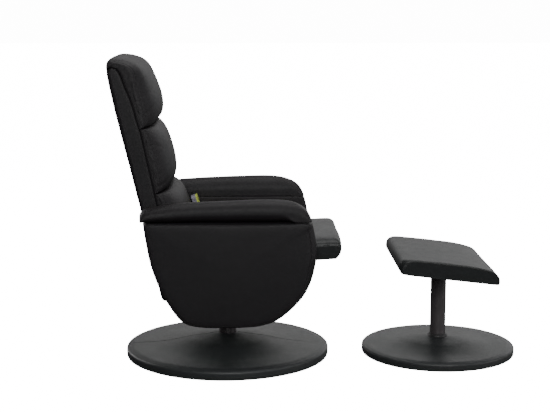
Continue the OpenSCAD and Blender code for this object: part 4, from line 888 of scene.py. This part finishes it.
# Collar where the footstool's post leaves its base
n, m = 40, 72
prof = curve([[27.5, 56.5], [31, 56.5], [33.5, 58], [33.8, 61], [31.5, 64.5], [28.5, 67.5],
    [27.4, 68.2]], n)
angles = np.linspace(0, 2 * math.pi, m + 1)[:-1]
grid = np.stack([STOOL_REACH + prof[:, None, 0] * np.cos(angles),
    prof[:, None, 0] * np.sin(angles), np.broadcast_to(prof[:, None, 1], (n, m))], -1)
faces = band(n, m)
faces += [((n - 1) * m + j, (n - 1) * m + (j + 1) % m, (j + 1) % m, j) for j in range(m)]
collar = outward(mesh_object("post_collar", grid.reshape(-1, 3), faces,
    finishes["black_plastic"]))
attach(collar, "stool")
skin = base_piece("base_leather", 0, BASE_R, NECK_R + GAP, RIM_H, NECK_H, 1, "base")
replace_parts(skin, "base_cover")
skin = base_piece("stool_base_leather", STOOL_REACH, STOOL_BASE_R, STOOL_NECK_R + GAP,
    STOOL_RIM_H, STOOL_NECK_H, 0, "stool")
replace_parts(skin, "stool_base_cover")

# Stage, light and camera
bpy.ops.mesh.primitive_plane_add(size=60, location=(0.3, 0, 0))
floor = bpy.context.object
floor.name = "floor"
mat, nt, shader = new_material("floor_paint")
shader.inputs["Base Color"].default_value = (0.86, 0.86, 0.86, 1)
shader.inputs["Roughness"].default_value = 0.9
shader.inputs["Specular IOR Level"].default_value = 0.1
shader.inputs["Emission Color"].default_value = (1, 1, 1, 1)
shader.inputs["Emission Strength"].default_value = 16.0
floor.data.materials.append(mat)
floor.visible_diffuse = False
floor.visible_glossy = False

# The camera sees a white room. Gloss sees a bright band low behind the chair, dim on its left
world = bpy.data.worlds.new("studio")
bpy.context.scene.world = world
world.use_nodes = True
nt = world.node_tree
nt.nodes.clear()
where = add(nt, "ShaderNodeTexCoord")
split = add(nt, "ShaderNodeSeparateXYZ")
link(nt, where, "Generated", split, "Vector")
behind = add(nt, "ShaderNodeMapRange",
    {"From Min": 0.3, "From Max": 0.95, "To Min": 0.57, "To Max": 1.55})
link(nt, split, "Y", behind, "Value")


def levels(axis, stops):
    """Grey levels over the directions' share of an axis, 0.5 being level with the middle."""
    share = add(nt, "ShaderNodeMapRange", {"From Min": -1.0, "From Max": 1.0})
    link(nt, split, axis, share, "Value")
    grey = add(nt, "ShaderNodeValToRGB")
    while len(grey.color_ramp.elements) < len(stops):
        grey.color_ramp.elements.new(0.5)
    for e, (at, level) in zip(grey.color_ramp.elements, stops):
        e.position, e.color = at, (level, level, level, 1)
    link(nt, share, "Result", grey, "Fac")
    return grey


sideways = levels("X",
    ((0.05, 0.33), (0.38, 0.33), (0.46, 0.74), (0.595, 0.7), (0.68, 1.0), (0.95, 0.9)))
above = levels("Z",
    ((0.3, 0.08), (0.5, 0.26), (0.585, 0.96), (0.69, 1.0), (0.735, 0.22), (1.0, 0.25)))
both = add(nt, "ShaderNodeMath", operation="MULTIPLY")
link(nt, behind, "Result", both, 0)
link(nt, above, "Color", both, 1)
turned = add(nt, "ShaderNodeMath", operation="MULTIPLY")
link(nt, both, "Value", turned, 0)
link(nt, sideways, "Color", turned, 1)
glow = add(nt, "ShaderNodeBackground")
link(nt, turned, "Value", glow, "Strength")
white = add(nt, "ShaderNodeBackground", {"Strength": 18.0})
path = add(nt, "ShaderNodeLightPath")
pick = add(nt, "ShaderNodeMixShader")
link(nt, path, "Is Camera Ray", pick, "Fac")
nt.links.new(glow.outputs[0], pick.inputs[1])
nt.links.new(white.outputs[0], pick.inputs[2])
out = add(nt, "ShaderNodeOutputWorld")
nt.links.new(pick.outputs[0], out.inputs["Surface"])


def softbox(name, place, aim, size, watts):
    """A rectangular area light that faces its aim."""
    data = bpy.data.lights.new(name, "AREA")
    data.shape = "RECTANGLE"
    data.size, data.size_y = size
    data.energy = watts
    obj = bpy.data.objects.new(name, data)
    bpy.context.scene.collection.objects.link(obj)
    obj.location = place
    obj.rotation_euler = (Vector(aim) - Vector(place)).to_track_quat("-Z", "Y").to_euler()


softbox("top_box", (0.6, 0.3, 3.4), (0.3, 0, 0.4), (3.2, 2.6), 60)
softbox("right_box", (3.4, -0.7, 0.9), (0.2, 0, 0.5), (1.6, 2.2), 17)
softbox("left_box", (-2.8, 0.9, 1.8), (-0.1, 0, 0.4), (1.6, 2.2), 7)
softbox("rear_box", (-3.6, 3.2, 1.7), (0, 0, 0.6), (2.4, 2.2), 45)
softbox("camera_box", (0.5, -4.6, 2.2), (0.2, 0, 0.5), (3.4, 2.4), 126)

LENS, EYE = 83.78, Vector((0.05929961, -4.34183186, 1.23118841))
RIGHT, UP = Vector((0.99970149, -0.02443218, 0)), Vector((0.00395278, 0.16173748, 0.9868259))
data = bpy.data.cameras.new("camera")
data.lens, data.sensor_width, data.sensor_fit = LENS, 36, "HORIZONTAL"
data.clip_start, data.clip_end = 0.05, 200
camera = bpy.data.objects.new("camera", data)
bpy.context.scene.collection.objects.link(camera)
camera.matrix_world = Matrix.Translation(EYE) @ Matrix(
    (RIGHT, UP, RIGHT.cross(UP))).transposed().to_4x4()
bpy.context.scene.camera = camera
